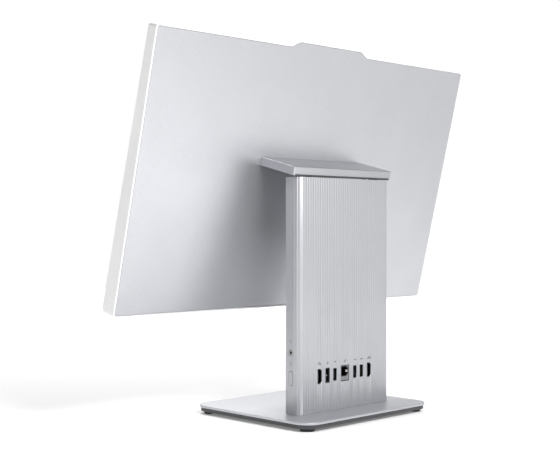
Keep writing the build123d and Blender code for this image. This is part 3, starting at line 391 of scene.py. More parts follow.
def fluted_wall_tree():
    """Upright wall along a path, with upright flutes on the middle part of the path."""
    tree, given = new_tree("fluted_wall", (
        ("Corner Radius", "Float"), ("Plain Length", "Float"), ("Flute Pitch", "Float"),
        ("Flute Depth", "Float"), ("Point Spacing", "Float"), ("Height", "Float"),
        ("Finish", "Material"),
    ))
    value = given.outputs
    corner_points = 40
    path = add(tree, "GeometryNodeMeshToCurve", {"Mesh": value["Geometry"]})
    bent = add(
        tree, "GeometryNodeFilletCurve",
        {"Curve": path.outputs["Curve"], "Count": corner_points,
         "Radius": value["Corner Radius"]},
        mode="POLY",
    )
    fine = add(
        tree, "GeometryNodeResampleCurve",
        {"Curve": bent.outputs["Curve"], "Length": value["Point Spacing"]},
        mode="LENGTH",
    )
    along = add(tree, "GeometryNodeSplineParameter").outputs["Length"]
    whole = add(tree, "GeometryNodeSplineLength").outputs["Length"]
    way = add(tree, "GeometryNodeInputTangent").outputs["Tangent"]
    out = add(
        tree, "ShaderNodeVectorMath", {0: way, 1: tuple(Z_WAY)}, operation="CROSS_PRODUCT"
    ).outputs["Vector"]

    # How far each point sinks: a raised cosine along the path, sharpened at the ribs and
    # nought on the plain ends. Each line is one sum, named so that later lines can use it.
    rib_sharpness = 1.4
    sums = {"along": along, "whole": whole}
    for label, operation, first, second in (
        ("passed", "SUBTRACT", "along", value["Plain Length"]),
        ("ahead", "SUBTRACT", "whole", "along"),
        ("left", "SUBTRACT", "ahead", value["Plain Length"]),
        ("begun", "GREATER_THAN", "passed", 0.0),
        ("unfinished", "GREATER_THAN", "left", 0.0),
        ("inside", "MULTIPLY", "begun", "unfinished"),
        ("circled", "MULTIPLY", "passed", 2 * math.pi),
        ("turned", "DIVIDE", "circled", value["Flute Pitch"]),
        ("swing", "COSINE", "turned", 0.0),
        ("half_swing", "MULTIPLY", "swing", 0.5),
        ("wave", "SUBTRACT", 0.5, "half_swing"),
        ("ribbed", "POWER", "wave", rib_sharpness),
        ("groove", "MULTIPLY", "ribbed", "inside"),
        ("inwards", "MULTIPLY", value["Flute Depth"], -1.0),
        ("sink", "MULTIPLY", "groove", "inwards"),
    ):
        inputs = {0: sums.get(first, first), 1: sums.get(second, second)}
        sums[label] = add(tree, "ShaderNodeMath", inputs, operation=operation).outputs[0]
    shift = add(
        tree, "ShaderNodeVectorMath", {0: out, "Scale": sums["sink"]}, operation="SCALE"
    )
    fluted = add(
        tree, "GeometryNodeSetPosition",
        {"Geometry": fine.outputs["Curve"], "Offset": shift.outputs["Vector"]},
    )
    line = add(tree, "GeometryNodeCurveToMesh", {"Curve": fluted.outputs["Geometry"]})
    up = add(tree, "ShaderNodeCombineXYZ", {"Z": value["Height"]})
    wall = add(
        tree, "GeometryNodeExtrudeMesh",
        {"Mesh": line.outputs["Mesh"], "Offset": up.outputs["Vector"], "Offset Scale": 1.0},
        mode="EDGES",
    )
    outward = add(tree, "GeometryNodeFlipFaces", {"Mesh": wall.outputs["Mesh"]})
    end_tree(tree, outward.outputs["Mesh"], value["Finish"])
    return tree


def blade_ring_tree():
    """Ring of like curved blades that stand along z."""
    tree, given = new_tree("blade_ring", (
        ("Inner Radius", "Float"), ("Outer Radius", "Float"), ("Lean", "Float"),
        ("Height", "Float"), ("Count", "Int"), ("Finish", "Material"),
    ))
    value = given.outputs
    start = add(tree, "ShaderNodeCombineXYZ", {"X": value["Inner Radius"]})
    end = add(tree, "ShaderNodeCombineXYZ", {"X": value["Outer Radius"], "Y": value["Lean"]})
    middle = add(tree, "ShaderNodeCombineXYZ", {"X": value["Outer Radius"]})
    curve = add(
        tree, "GeometryNodeCurveQuadraticBezier",
        {"Resolution": 6, "Start": start.outputs[0], "Middle": middle.outputs[0],
         "End": end.outputs[0]},
    )
    line = add(tree, "GeometryNodeCurveToMesh", {"Curve": curve.outputs["Curve"]})
    up = add(tree, "ShaderNodeCombineXYZ", {"Z": value["Height"]})
    blade = add(
        tree, "GeometryNodeExtrudeMesh",
        {"Mesh": line.outputs["Mesh"], "Offset": up.outputs["Vector"], "Offset Scale": 1.0},
        mode="EDGES",
    )
    spots = add(
        tree, "GeometryNodeMeshLine", {"Count": value["Count"], "Offset": (0, 0, 0)},
        mode="OFFSET", count_mode="TOTAL",
    )
    number = add(tree, "GeometryNodeInputIndex").outputs["Index"]
    share = add(
        tree, "ShaderNodeMath", {0: number, 1: value["Count"]}, operation="DIVIDE"
    ).outputs[0]
    angle = add(
        tree, "ShaderNodeMath", {0: share, 1: 2 * math.pi}, operation="MULTIPLY"
    ).outputs[0]
    turn = add(
        tree, "FunctionNodeAxisAngleToRotation", {"Axis": tuple(Z_WAY), "Angle": angle}
    )
    ring = add(
        tree, "GeometryNodeInstanceOnPoints",
        {"Points": spots.outputs["Mesh"], "Instance": blade.outputs["Mesh"],
         "Rotation": turn.outputs["Rotation"]},
    )
    end_tree(tree, ring.outputs["Instances"], value["Finish"])
    return tree


# ---------------------------------------------------------------- finishes
def linear(colour):
    """Linear RGBA of an sRGB hex colour."""
    parts = [int(colour[i:i + 2], 16) / 255 for i in (1, 3, 5)]
    light = [c / 12.92 if c <= 0.04045 else ((c + 0.055) / 1.055) ** 2.4 for c in parts]
    return (*light, 1.0)


# Each finish: two tones that drift into each other over "patch" mm, the shader's metallic and
# roughness, "spread" being how far the roughness wanders, and a grain of "grain" mm that is
# "relief" mm high. "shape" is the grain's kind; "stretch" below 1 draws it out along an axis.
# Flakes, blasting grit and moulding grain are finer than this in truth, and are drawn coarse
# enough to show.
FINISHES = {
    # silver lacquer with fine aluminium flakes over a moulded cover: a soft, even sheen
    "silver_lacquer": dict(
        tones=("#C8C9CD", "#C2C3C7"), metallic=0.85, roughness=0.38, spread=0.03,
        patch=60, grain=1.4, relief=0.010, shape="flake",
    ),
    # the same lacquer on the side frame, with more white in it
    "pale_lacquer": dict(
        tones=("#F2F2F1", "#ECECEC"), metallic=0.35, roughness=0.45, spread=0.03,
        patch=50, grain=1.2, relief=0.010, shape="flake",
    ),
    # bead-blasted and anodised aluminium plate: matt, with a crisp highlight along its edges
    "blasted_aluminium": dict(
        tones=("#C4C5C9", "#BCBDC1"), metallic=0.8, roughness=0.36, spread=0.04,
        patch=45, grain=0.9, relief=0.012, shape="noise",
    ),
    # the same plate stock anodised a shade darker, for the neck
    "grey_anodised_aluminium": dict(
        tones=("#B4B5B9", "#B0B1B5"), metallic=0.9, roughness=0.34, spread=0.04,
        patch=40, grain=0.9, relief=0.004, shape="noise",
    ),
    # moulded ABS with metal pigment: drawn-out flow marks along the flutes
    "moulded_silver_abs": dict(
        tones=("#B1B2B6", "#ABACB0"), metallic=0.65, roughness=0.42, spread=0.05,
        patch=35, grain=0.9, relief=0.012, shape="noise", stretch=(1, 1, 0.25),
    ),
    # spark-textured black polycarbonate round the screen
    "textured_black_pc": dict(
        tones=("#16171A", "#1D1E21"), metallic=0.0, roughness=0.52, spread=0.06,
        patch=20, grain=0.8, relief=0.020, shape="noise",
    ),
    # dark grey moulded ABS tray, slightly glossy on its rounded edge
    "dark_grey_abs": dict(
        tones=("#36373A", "#3F4043"), metallic=0.0, roughness=0.48, spread=0.08,
        patch=30, grain=1.0, relief=0.025, shape="noise",
    ),
    # moulded rubber, dusty and without gloss
    "moulded_rubber": dict(
        tones=("#222326", "#2E2F31"), metallic=0.0, roughness=0.85, spread=0.08,
        patch=9, grain=0.7, relief=0.04, shape="noise",
    ),
    # black nylon of sockets and connectors, faintly glossy
    "glossy_nylon": dict(
        tones=("#0C0C0E", "#131315"), metallic=0.0, roughness=0.38, spread=0.08,
        patch=8, grain=0.5, relief=0.008, shape="noise",
    ),
    # nickel-plated sheet of the socket shells, with drawing marks from the press
    "nickel_plated_steel": dict(
        tones=("#B9B8B4", "#A8A7A4"), metallic=1.0, roughness=0.28, spread=0.08,
        patch=6, grain=0.35, relief=0.006, shape="noise", stretch=(1, 0.15, 1),
    ),
    # dull nickel on the large network socket's shield
    "satin_nickel": dict(
        tones=("#8F9093", "#838487"), metallic=0.9, roughness=0.42, spread=0.06,
        patch=6, grain=0.35, relief=0.006, shape="noise", stretch=(1, 0.15, 1),
    ),
    # steel of the narrow socket shells, darkened as painted shade for the dark inside of each
    # opening, with a thin bright lip
    "shade_darkened_steel": dict(
        tones=("#2B2B2D", "#222224"), metallic=1.0, roughness=0.34, spread=0.06,
        patch=6, grain=0.35, relief=0.006, shape="noise", stretch=(1, 0.15, 1),
    ),
    # gold flashed over nickel on the contacts: a small warm glint
    "gold_plating": dict(
        tones=("#D9B45A", "#C9A24A"), metallic=1.0, roughness=0.25, spread=0.06,
        patch=3, grain=0.3, relief=0.003, shape="noise",
    ),
    # pad-printed grey ink, a little uneven at its edges
    "printed_ink": dict(
        tones=("#6B6D70", "#75777A"), metallic=0.0, roughness=0.6, spread=0.05,
        patch=2, grain=0.4, relief=0.003, shape="noise",
    ),
    # zinc-plated pressed steel: a cold grey sheen drawn out along its rolling marks
    "zinc_plated_steel": dict(
        tones=("#A9ABAD", "#96989B"), metallic=1.0, roughness=0.36, spread=0.10,
        patch=14, grain=0.6, relief=0.008, shape="noise", stretch=(0.2, 1, 1),
    ),
    # ground steel of pins and screws: a bright, streaked shine
    "ground_steel": dict(
        tones=("#8E9093", "#7C7E81"), metallic=1.0, roughness=0.30, spread=0.08,
        patch=5, grain=0.4, relief=0.006, shape="noise", stretch=(1, 0.2, 0.2),
    ),
    # dark green solder mask over a glass-fibre board, its tracks showing as a low relief
    "solder_mask": dict(
        tones=("#12201A", "#1B2F26"), metallic=0.0, roughness=0.35, spread=0.10,
        patch=12, grain=2.2, relief=0.030, shape="tracks",
    ),
    # moulded epoxy of the chips: dull and nearly black
    "moulded_epoxy": dict(
        tones=("#1A1B1D", "#242528"), metallic=0.0, roughness=0.62, spread=0.06,
        patch=6, grain=0.4, relief=0.010, shape="noise",
    ),
    # rolled stainless case of the coin cell, with fine rolling marks
    "rolled_stainless": dict(
        tones=("#B4B5B7", "#A2A3A6"), metallic=1.0, roughness=0.26, spread=0.10,
        patch=7, grain=0.5, relief=0.006, shape="noise", stretch=(0.15, 1, 1),
    ),
    # bare copper, slightly browned by handling
    "bare_copper": dict(
        tones=("#C77F55", "#9E5B38"), metallic=1.0, roughness=0.34, spread=0.12,
        patch=16, grain=0.6, relief=0.008, shape="noise", stretch=(0.2, 1, 1),
    ),
    # thin bare aluminium fins, cut from mill sheet: a row of bright edges
    "mill_aluminium": dict(
        tones=("#C3C5C8", "#B2B4B7"), metallic=1.0, roughness=0.32, spread=0.10,
        patch=10, grain=0.5, relief=0.005, shape="noise", stretch=(1, 1, 0.2),
    ),
    # etched anti-glare glass over a dark panel: black, with only broad soft reflections
    "etched_screen_glass": dict(
        tones=("#0B0C0E", "#0E0F12"), metallic=0.0, roughness=0.24, spread=0.02,
        patch=120, grain=0.5, relief=0.002, shape="noise",
    ),
    # coated camera glass with a dark violet reflection
    "coated_lens_glass": dict(
        tones=("#08080E", "#14101E"), metallic=0.0, roughness=0.06, spread=0.02,
        patch=2, grain=0.6, relief=0.0005, shape="noise",
    ),
    # white reflector film and light guide: matt and very bright
    "white_reflector_film": dict(
        tones=("#ECECEA", "#E2E2E0"), metallic=0.0, roughness=0.55, spread=0.05,
        patch=60, grain=1.0, relief=0.010, shape="noise",
    ),
    # extruded soft plastic round the cable: black, its dull sheen drawn out lengthways
    "extruded_cable_pvc": dict(
        tones=("#1B1B1D", "#262628"), metallic=0.0, roughness=0.55, spread=0.06,
        patch=8, grain=0.5, relief=0.02, shape="noise", stretch=(1, 1, 0.2),
    ),
    # moulded black ABS of the loudspeaker boxes: dull, with a fine even grain
    "matt_speaker_abs": dict(
        tones=("#17181A", "#202124"), metallic=0.0, roughness=0.7, spread=0.08,
        patch=10, grain=1.1, relief=0.03, shape="noise",
    ),
}


# Middle part of a noise's range, and of the product of two, that a finish is spread over
NOISE_SPAN = (0.25, 0.75)
PRODUCT_SPAN = (0.08, 0.42)


def finish(name):
    """Material of a finish, made the first time it is asked for."""
    if name in bpy.data.materials:
        return bpy.data.materials[name]
    recipe = FINISHES[name]
    first, second = [linear(tone) for tone in recipe["tones"]]
    colours = bpy.context.scene.shell_colours
    if hasattr(colours, name):
        first = (*getattr(colours, name), 1.0)
    material = bpy.data.materials.new(name)
    material.use_nodes = True
    tree = material.node_tree
    tree.nodes.clear()
    place = add(tree, "ShaderNodeTexCoord").outputs["Object"]
    drawn = add(
        tree, "ShaderNodeMapping",
        {"Vector": place, "Scale": recipe.get("stretch", (1, 1, 1))},
    ).outputs["Vector"]
    drift = add(
        tree, "ShaderNodeTexNoise",
        {"Vector": place, "Scale": 1 / (recipe["patch"] * MM), "Detail": 3.0},
    ).outputs["Fac"]
    fine_scale = 1 / (recipe["grain"] * MM)
    if recipe["shape"] == "flake":
        grain = add(
            tree, "ShaderNodeTexVoronoi", {"Vector": drawn, "Scale": fine_scale},
        ).outputs["Distance"]
    elif recipe["shape"] == "tracks":
        grain = add(
            tree, "ShaderNodeTexBrick",
            {"Vector": drawn, "Scale": fine_scale, "Mortar Size": 0.12, "Brick Width": 1.7},
        ).outputs["Fac"]
    else:
        grain = add(
            tree, "ShaderNodeTexNoise", {"Vector": drawn, "Scale": fine_scale, "Detail": 2.0},
        ).outputs["Fac"]
    mixed = add(
        tree, "ShaderNodeMath", {0: drift, 1: grain}, operation="MULTIPLY"
    ).outputs[0]
    share = add(
        tree, "ShaderNodeMapRange",
        {0: mixed, 1: PRODUCT_SPAN[0], 2: PRODUCT_SPAN[1], 3: 0.0, 4: 1.0},
    ).outputs[0]
    colour = add(
        tree, "ShaderNodeMix", {0: share, 6: first, 7: second}, data_type="RGBA"
    ).outputs[2]
    rough = add(
        tree, "ShaderNodeMapRange",
        {0: drift, 1: NOISE_SPAN[0], 2: NOISE_SPAN[1],
         3: recipe["roughness"] - recipe["spread"], 4: recipe["roughness"] + recipe["spread"]},
    ).outputs[0]
    bump = add(
        tree, "ShaderNodeBump",
        {"Strength": 1.0, "Distance": recipe["relief"] * MM, "Height": grain},
    ).outputs["Normal"]
    shader = add(
        tree, "ShaderNodeBsdfPrincipled",
        {"Base Color": colour, "Metallic": recipe["metallic"], "Roughness": rough,
         "Normal": bump},
    )
    add(tree, "ShaderNodeOutputMaterial", {"Surface": shader.outputs["BSDF"]})
    return material


# CAD nodes that keep their own shape, with the finish that each takes
KEPT_NODES = {
    "zinc_plated_steel": ("column_frame", "base_weight", "neck_bracket", "panel_chassis",
                          "hinge_bracket_left", "hinge_bracket_right"),
    "ground_steel": ("hinge_arm_left", "hinge_arm_right", "hinge_pin_left", "hinge_pin_right",
                     "hinge_screws", "base_screws", "display_screws", "mainboard_screws"),
    "solder_mask": ("mainboard", "side_board", "display_board", "webcam_module",
                    "wireless_card", "storage_module", "memory_module_1", "memory_module_2"),
    "moulded_epoxy": ("processor",),
    "rolled_stainless": ("coin_cell",),
    "bare_copper": ("cold_plate", "heat_pipe"),
    "glossy_nylon": ("blower_housing",),
    "etched_screen_glass": ("lcd_panel",),
    "white_reflector_film": ("backlight_unit",),
    "extruded_cable_pvc": ("upper_display_cable", "lower_display_cable"),
    "matt_speaker_abs": ("speaker_left", "speaker_right"),
    "moulded_silver_abs": ("power_button",),
}


# ---------------------------------------------------------------- sizes a user would change
def size(name, text, millimetres):
    """Length property, its default given in millimetres."""
    return bpy.props.FloatProperty(
        name=name, description=text, default=millimetres * MM, min=0.0, unit="LENGTH",
        precision=5,
    )


def tone(name, text, finish_name):
    """Colour property, its default a finish's lighter tone."""
    return bpy.props.FloatVectorProperty(
        name=name, description=text, subtype="COLOR", min=0.0, max=1.0,
        default=linear(FINISHES[finish_name]["tones"][0])[:3],
    )


class ShellColours(bpy.types.PropertyGroup):
    """Colours of the shells."""

    silver_lacquer: tone("Rear cover", "Lacquer on the display's back", "silver_lacquer")
    pale_lacquer: tone("Side frame", "Lacquer on the display's sides", "pale_lacquer")
    grey_anodised_aluminium: tone(
        "Neck plate", "Anodised plate between display and column", "grey_anodised_aluminium",
    )
    moulded_silver_abs: tone("Column", "Plastic of the column and chin", "moulded_silver_abs")
    blasted_aluminium: tone("Base plate", "Anodised plate of the base", "blasted_aluminium")
    dark_grey_abs: tone("Base tray", "Plastic of the tray and caps", "dark_grey_abs")


class DisplayShape(bpy.types.PropertyGroup):
    """Sizes of the display's shells."""

    rim: size("Rim", "Thickness of the side frame seen from behind", 2.0)
    corner: size("Corner", "Radius of the display's corners at the seam", 3.0)
    bump_base: size("Bump base", "Width of the camera bump where it meets the top edge", 135.6)
    bump_top: size("Bump top", "Width of the camera bump along its top", 109.4)
    bump_height: size("Bump height", "Height of the camera bump above the top edge", 6.8)
    bump_round: size("Bump rounding", "Radius of the camera bump's corners", 5.0)
    seam: size("Seam", "Gap between the rear cover and the side frame", 0.4)
    edge: size("Edge rounding", "Radius of the side frame's outer edges", 0.9)
    wall: size("Cover wall", "Thickness of the rear cover", 2.0)


class ColumnShape(bpy.types.PropertyGroup):
    """Sizes of the hollow column."""

    corner: size("Corner", "Radius of the column's rear corners", 9.0)
    wall: size("Wall", "Thickness of the column's rear cover", 1.8)
    flute_pitch: size("Flute pitch", "Distance between flutes, fitted to a whole number", 4.0)
    flute_depth: size("Flute depth", "Depth of a flute below its ribs", 0.4)
    rim: size("Socket rim", "Width of the chamfer round each opening", 0.4)


class BaseShape(bpy.types.PropertyGroup):
    """Sizes of the base."""

    corner: size("Corner", "Radius of the base plate's corners", 20.0)
    groove: size("Groove", "Depth of the fine groove round the plate's edge", 0.5)
    groove_drop: size("Groove place", "Distance of the groove below the plate's top", 0.8)
    tray_inset: size("Tray inset", "How far the dark tray stands back from the plate", 1.5)
    tray_wall: size("Tray wall", "Thickness of the tray", 1.6)


class StageSetup(bpy.types.PropertyGroup):
    """Camera, sky and floor."""

    camera: bpy.props.FloatVectorProperty(
        name="Camera", description="Place of the camera", subtype="TRANSLATION",
        default=(0.99096, 0.94571, 0.23247),
    )
    heading: bpy.props.FloatProperty(
        name="Heading", description="Turn of the camera about the upright axis",
        default=math.radians(135.37), subtype="ANGLE",
    )
    tilt: bpy.props.FloatProperty(
        name="Tilt", description="Tilt of the camera, 90 degrees being level",
        default=math.radians(90.02), subtype="ANGLE",
    )
    lens: bpy.props.FloatProperty(
        name="Lens", description="Focal length on a 36 mm sensor, in millimetres",
        default=70.58, min=10.0,
    )
    zenith: bpy.props.FloatProperty(
        name="Zenith", description="Strength of the sky overhead, that at the horizon being 1",
        default=0.2, min=0.0,
    )
    glow: bpy.props.FloatProperty(
        name="Floor glow", description="Light that the floor gives by itself, as a light table",
        default=0.16, min=0.0,
    )
    floor: bpy.props.FloatVectorProperty(
        name="Floor", description="Colour of the floor", subtype="COLOR",
        default=linear("#F4F4F4")[:3], min=0.0, max=1.0,
    )


# ---------------------------------------------------------------- display
def display_outline(shape, place):
    """Corners and radii of the display's seam, with the camera bump in its top edge."""
    _, high = box_in(place, "display_frame")
    half = high.x - shape.rim
    top = high.y - shape.rim - shape.bump_height
    corners = [
        (-half, 0), (half, 0), (half, top),
        (shape.bump_base / 2, top),
        (shape.bump_top / 2, top + shape.bump_height),
        (-shape.bump_top / 2, top + shape.bump_height),
        (-shape.bump_base / 2, top),
        (-half, top),
    ]
    radii = [shape.corner] * 3 + [shape.bump_round] * 4 + [shape.corner]
    return corners, radii


class COMPUTER_OT_display_frame(bpy.types.Operator):
    """Side frame of the display, a thin rim with rounded edges and two rows of slots"""

    bl_idname = "computer.display_frame"
    bl_label = "Display frame"

    def execute(self, context):
        shape = context.scene.display_shape
        place = display_place(shape.rim)
        corners, radii = display_outline(shape, place)
        flip = place.inverted() @ front_place()
        origin = flip.translation
        out = flip.to_3x3() @ Z_WAY

        def from_front(depth):
            """Height function of a plane at a depth behind the slanted front face."""
            def height(point):
                reach = out.x * (point.x - origin.x) + out.y * (point.y - origin.y)
                return origin.z - (reach + depth) / out.z
            return height

        edge = shape.edge
        rim = shape.rim
        lip = 0.25 * MM
        flat = 0.2 * MM
        ledge_width = 4 * MM
        ledge = 1.2 * MM
        rear = edge_arc(-lip, lip, lip, 0, -90, 2)
        rear += [(-rim + edge + flat, 0)]
        rear += edge_arc(-rim + edge, edge, edge, -90, -180)
        front = [(inset, from_front(depth)) for inset, depth in reversed(rear)]
        levels = rear + [(-rim, 2 * edge), (-rim, from_front(2 * edge))] + front
        levels += [
            (0, shape.wall + ledge), (ledge_width, shape.wall + ledge),
            (ledge_width, shape.wall), (0, shape.wall),
        ]
        piece = stack("display_side_frame", place, corners, radii, levels, loop=True)
        middle = middle_of(*box_in(place, "speaker_right")).x
        frame_low, _ = box_in(place, "display_frame")
        half_thickness = 11.25 * MM
        under = axes(
            place @ Vector((0, frame_low.y - MM, half_thickness)), X_WAY,
            place.to_3x3() @ Z_WAY,
        )
        slots, pitch = 16, 6 * MM
        slot_width, slot_length = 1.4 * MM, 7 * MM
        rows = [
            slot_row(
                f"grille_cutter_{word}", under, (x, 0, -2 * rim), (pitch, 0, 0), slots,
                (slot_width, slot_length, 4 * rim), slot_width / 2 - TINY, "glossy_nylon",
            )
            for word, x in (("left", -middle), ("right", middle))
        ]
        carve(piece, rows)
        dress(piece, "pale_lacquer", "display", "silver_plastic", "display_frame")
        return {"FINISHED"}


class COMPUTER_OT_display_cover(bpy.types.Operator):
    """Rear cover of the display: one plate with a softly rounded edge inside the seam"""

    bl_idname = "computer.display_cover"
    bl_label = "Display cover"

    def execute(self, context):
        shape = context.scene.display_shape
        place = display_place(shape.rim)
        corners, radii = display_outline(shape, place)
        lip = 0.4 * MM
        rib = 2 * MM
        rib_out = 4.6 * MM
        rib_in = 6 * MM
        levels = [
            (rib_in + rib, shape.wall), (rib_in, shape.wall), (rib_in, shape.wall + rib),
            (rib_out, shape.wall + rib), (rib_out, shape.wall), (shape.seam, shape.wall),
            (shape.seam, 2 * lip),
        ]
        levels += edge_arc(shape.seam + lip, lip, lip, 180, 270)
        levels += [(shape.seam + 2 * lip, 0), (shape.seam + 4 * lip, 0)]
        piece = stack("display_rear_cover", place, corners, radii, levels)
        _, lid = box_in(place, "neck_bottom_cover")
        _, plate = box_in(place, "neck_top_cover")
        _, steel = box_in(place, "neck_bracket")
        skin = 1.8 * MM
        slack = 3 * MM
        bottom = lid.y - 0.1 * MM
        top = plate.y - skin
        slot = rectangle(0, (bottom + top) / 2, 2 * steel.x + slack, top - bottom)
        through = [(0, -MM), (0, shape.wall + MM)]
        cutter = stack("bracket_slot", place, slot, [MM] * 4, through)
        carve(piece, [cutter])
        dress(piece, "silver_lacquer", "display", "silver_plastic", "rear_cover")
        return {"FINISHED"}


class COMPUTER_OT_screen_surround(bpy.types.Operator):
    """Black bezel and silver chin round the screen, with their edges eased"""

    bl_idname = "computer.screen_surround"
    bl_label = "Screen surround"

    def execute(self, context):
        bezel = soften("front_bezel", "screen_bezel", 0.15 * MM)
        dress(bezel, "textured_black_pc", "display", "dark_plastic", "front_bezel")
        chin = soften("chin_cover", "screen_chin", MOULDED_EDGE)
        dress(chin, "moulded_silver_abs", "display", "silver_plastic", "chin_cover")
        return {"FINISHED"}


class COMPUTER_OT_camera(bpy.types.Operator):
    """Domed camera glass in its ring, and the privacy shutter's ribbed tab"""

    bl_idname = "computer.camera"
    bl_label = "Camera"

    def execute(self, context):
        place = front_place()
        low, high = box_in(place, "webcam_lens")
        centre = middle_of(low, high)
        radius = (high.x - low.x) / 2
        circle = rectangle(centre.x, centre.y, 2 * radius, 2 * radius)
        dome = [
            (0, low.z), (0, high.z), (0.15 * MM, high.z + 0.12 * MM),
            (0.6 * MM, high.z + 0.26 * MM), (1.2 * MM, high.z + 0.34 * MM),
            (radius - 0.2 * MM, high.z + 0.37 * MM),
        ]
        glass = stack("camera_glass", place, circle, [radius] * 4, dome)
        dress(glass, "coated_lens_glass", "display", "lens_glass", "webcam_lens")
        slide = soften("camera_shutter", "shutter_slide", 0.12 * MM)
        dress(slide, "textured_black_pc", "camera_shutter", "dark_plastic", "camera_shutter")
        return {"FINISHED"}


# ---------------------------------------------------------------- neck and column
class COMPUTER_OT_neck_plate(bpy.types.Operator):
    """Plate between display and column: an upper tray, its lid and a dark strip of painted shade
    in the gap under the plate's rear edge
    """

    bl_idname = "computer.neck_plate"
    bl_label = "Neck plate"

    def execute(self, context):
        tray = soften("neck_top_cover", "neck_plate_cover", 0.18 * MM, 3)
        dress(tray, "grey_anodised_aluminium", "display", "anodised_aluminium",
              "neck_top_cover")
        lid = soften("neck_bottom_cover", "neck_plate_lid", MOULDED_EDGE)
        dress(lid, "dark_grey_abs", "display", "dark_plastic", "neck_bottom_cover")
        low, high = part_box("neck_top_cover")
        _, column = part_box("column_rear_cover")
        wall = 1.8 * MM
        thickness = 1.6 * MM
        gap = 0.55 * MM
        ease = 0.3 * MM
        # A dark strip set into the gap between the plate's rear wall and the column's top: painted
        # shade that stands for the shadow in that gap, not a real part
        strip = rectangle(0, high.y - wall, 2 * (high.x - 2 * wall), thickness)
        foot = column.z + gap
        levels = [(ease, foot), (0, foot + ease), (0, low.z + MM)]
        shadow_strip = stack("neck_plate_shadow_strip", Matrix.Identity(4), strip, [0.7 * MM] * 4, levels)
        dress(shadow_strip, "dark_grey_abs", "display", "dark_plastic")
        return {"FINISHED"}


# Rear sockets in their order, the gap round each, and how far a video socket's shoulders
# reach in, as a share of half its width; then the radius of the headphone jack's barrel
SOCKETS = (
    "hdmi_input_port", "power_inlet", "usb_port_1", "ethernet_port",
    "usb_port_2", "usb_port_3", "hdmi_output_port",
)
PORT_GAP = 0.7 * MM
VIDEO_SHOULDER = 0.64
JACK_BARREL = 3.3 * MM


def socket_outline(node_name, place, grow_by=0.0):
    """Corners and radii of a socket's outline: video sockets have two slanted shoulders."""
    low, high = box_in(place, node_name)
    x0, x1 = low.x - grow_by, high.x + grow_by
    z0, z1 = low.y - grow_by, high.y + grow_by
    if not node_name.startswith("hdmi"):
        return [(x0, z0), (x1, z0), (x1, z1), (x0, z1)], [0.6 * MM] * 4
    cut = VIDEO_SHOULDER * (x1 - x0) / 2
    corners = [
        (x0 + cut, z0), (x1, z0), (x1, z1), (x0 + cut, z1), (x0, z1 - cut), (x0, z0 + cut),
    ]
    return corners, [0.4 * MM] * 6


def button_face():
    """Lowest and highest corners of the power button's outer face."""
    points = [v.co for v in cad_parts["power_button"].data.vertices]
    outer = max(p.x for p in points)
    face = [p for p in points if p.x > outer - 0.6 * MM]
    low = Vector([min(p[i] for p in face) for i in range(3)])
    high = Vector([max(p[i] for p in face) for i in range(3)])
    return low, high


class COMPUTER_OT_column_cover(bpy.types.Operator):
    """Rear cover of the column, fluted from corner to corner, with its socket openings"""

    bl_idname = "computer.column_cover"
    bl_label = "Column cover"

    def execute(self, context):
        shape = context.scene.column_shape
        low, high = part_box("column_rear_cover")
        path = [
            (high.x, low.y, low.z), (high.x, high.y, low.z),
            (low.x, high.y, low.z), (low.x, low.y, low.z),
        ]
        plain = high.y - low.y - shape.corner
        fluted = high.x - low.x - 2 * shape.corner + math.pi * shape.corner
        flutes = round(fluted / shape.flute_pitch)
        pitch = fluted / flutes
        points_per_flute = 12
        values = {
            "Corner Radius": shape.corner, "Plain Length": plain, "Flute Pitch": pitch,
            "Flute Depth": shape.flute_depth, "Point Spacing": pitch / points_per_flute,
            "Height": high.z - low.z, "Finish": finish("moulded_silver_abs"),
        }
        edges = [(i, i + 1) for i in range(len(path) - 1)]
        piece = grow("column_fluted_cover", fluted_wall_tree(), values, path, edges)
        wall = piece.modifiers.new("Wall", "SOLIDIFY")
        wall.thickness = shape.wall
        wall.offset = -1
        wall.use_even_offset = False
        ease = piece.modifiers.new("Ease", "BEVEL")
        ease.width = 0.3 * MM
        ease.segments = 2
        ease.limit_method = "ANGLE"
        ease.angle_limit = math.radians(60)
        settle(piece)
        place = column_place()
        cutters = []
        flare = [(-2 * shape.rim, -shape.rim), (0, shape.rim), (0, 3 * shape.wall)]
        for name in SOCKETS:
            corners, radii = socket_outline(name, place, PORT_GAP)
            cutters.append(stack(f"cut_{name}", place, corners, radii, flare))
        side = column_side()
        deep = [(inset, -depth) for inset, depth in flare]
        gap = 0.3 * MM
        jack = JACK_BARREL + gap
        centre = middle_of(*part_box("headphone_jack"))
        hole = rectangle(centre.y, centre.z, 2 * jack, 2 * jack)
        cutters.append(stack("cut_jack", side, hole, [jack] * 4, deep))
        key_low, key_high = button_face()
        centre = middle_of(key_low, key_high)
        width, height = [key_high[i] - key_low[i] + 2 * gap for i in (1, 2)]
        key = rectangle(centre.y, centre.z, width, height)
        cutters.append(stack("cut_button", side, key, [width / 2 - TINY] * 4, deep))
        other = axes((low.x, 0, 0), -Y_WAY, Z_WAY)
        lock_width, lock_length, lock_height = 2.6 * MM, 7 * MM, 15 * MM
        lock = rectangle(-(low.y + high.y) / 2, low.z + lock_height, lock_width, lock_length)
        cutters.append(stack("cut_lock", other, lock, [lock_width / 2 - TINY] * 4, deep))
        carve(piece, cutters)
        dress(piece, "moulded_silver_abs", "stand", "silver_plastic", "column_rear_cover")
        return {"FINISHED"}


class COMPUTER_OT_column_panels(bpy.types.Operator):
    """Vented front panel and top cap of the column, with their edges eased"""

    bl_idname = "computer.column_panels"
    bl_label = "Column panels"

    def execute(self, context):
        panel = soften("column_front_cover", "column_vent_panel", MOULDED_EDGE)
        dress(panel, "moulded_silver_abs", "stand", "silver_plastic", "column_front_cover")
        cap = soften("column_top_cap", "column_cap", MOULDED_EDGE)
        dress(cap, "dark_grey_abs", "stand", "dark_plastic", "column_top_cap")
        return {"FINISHED"}


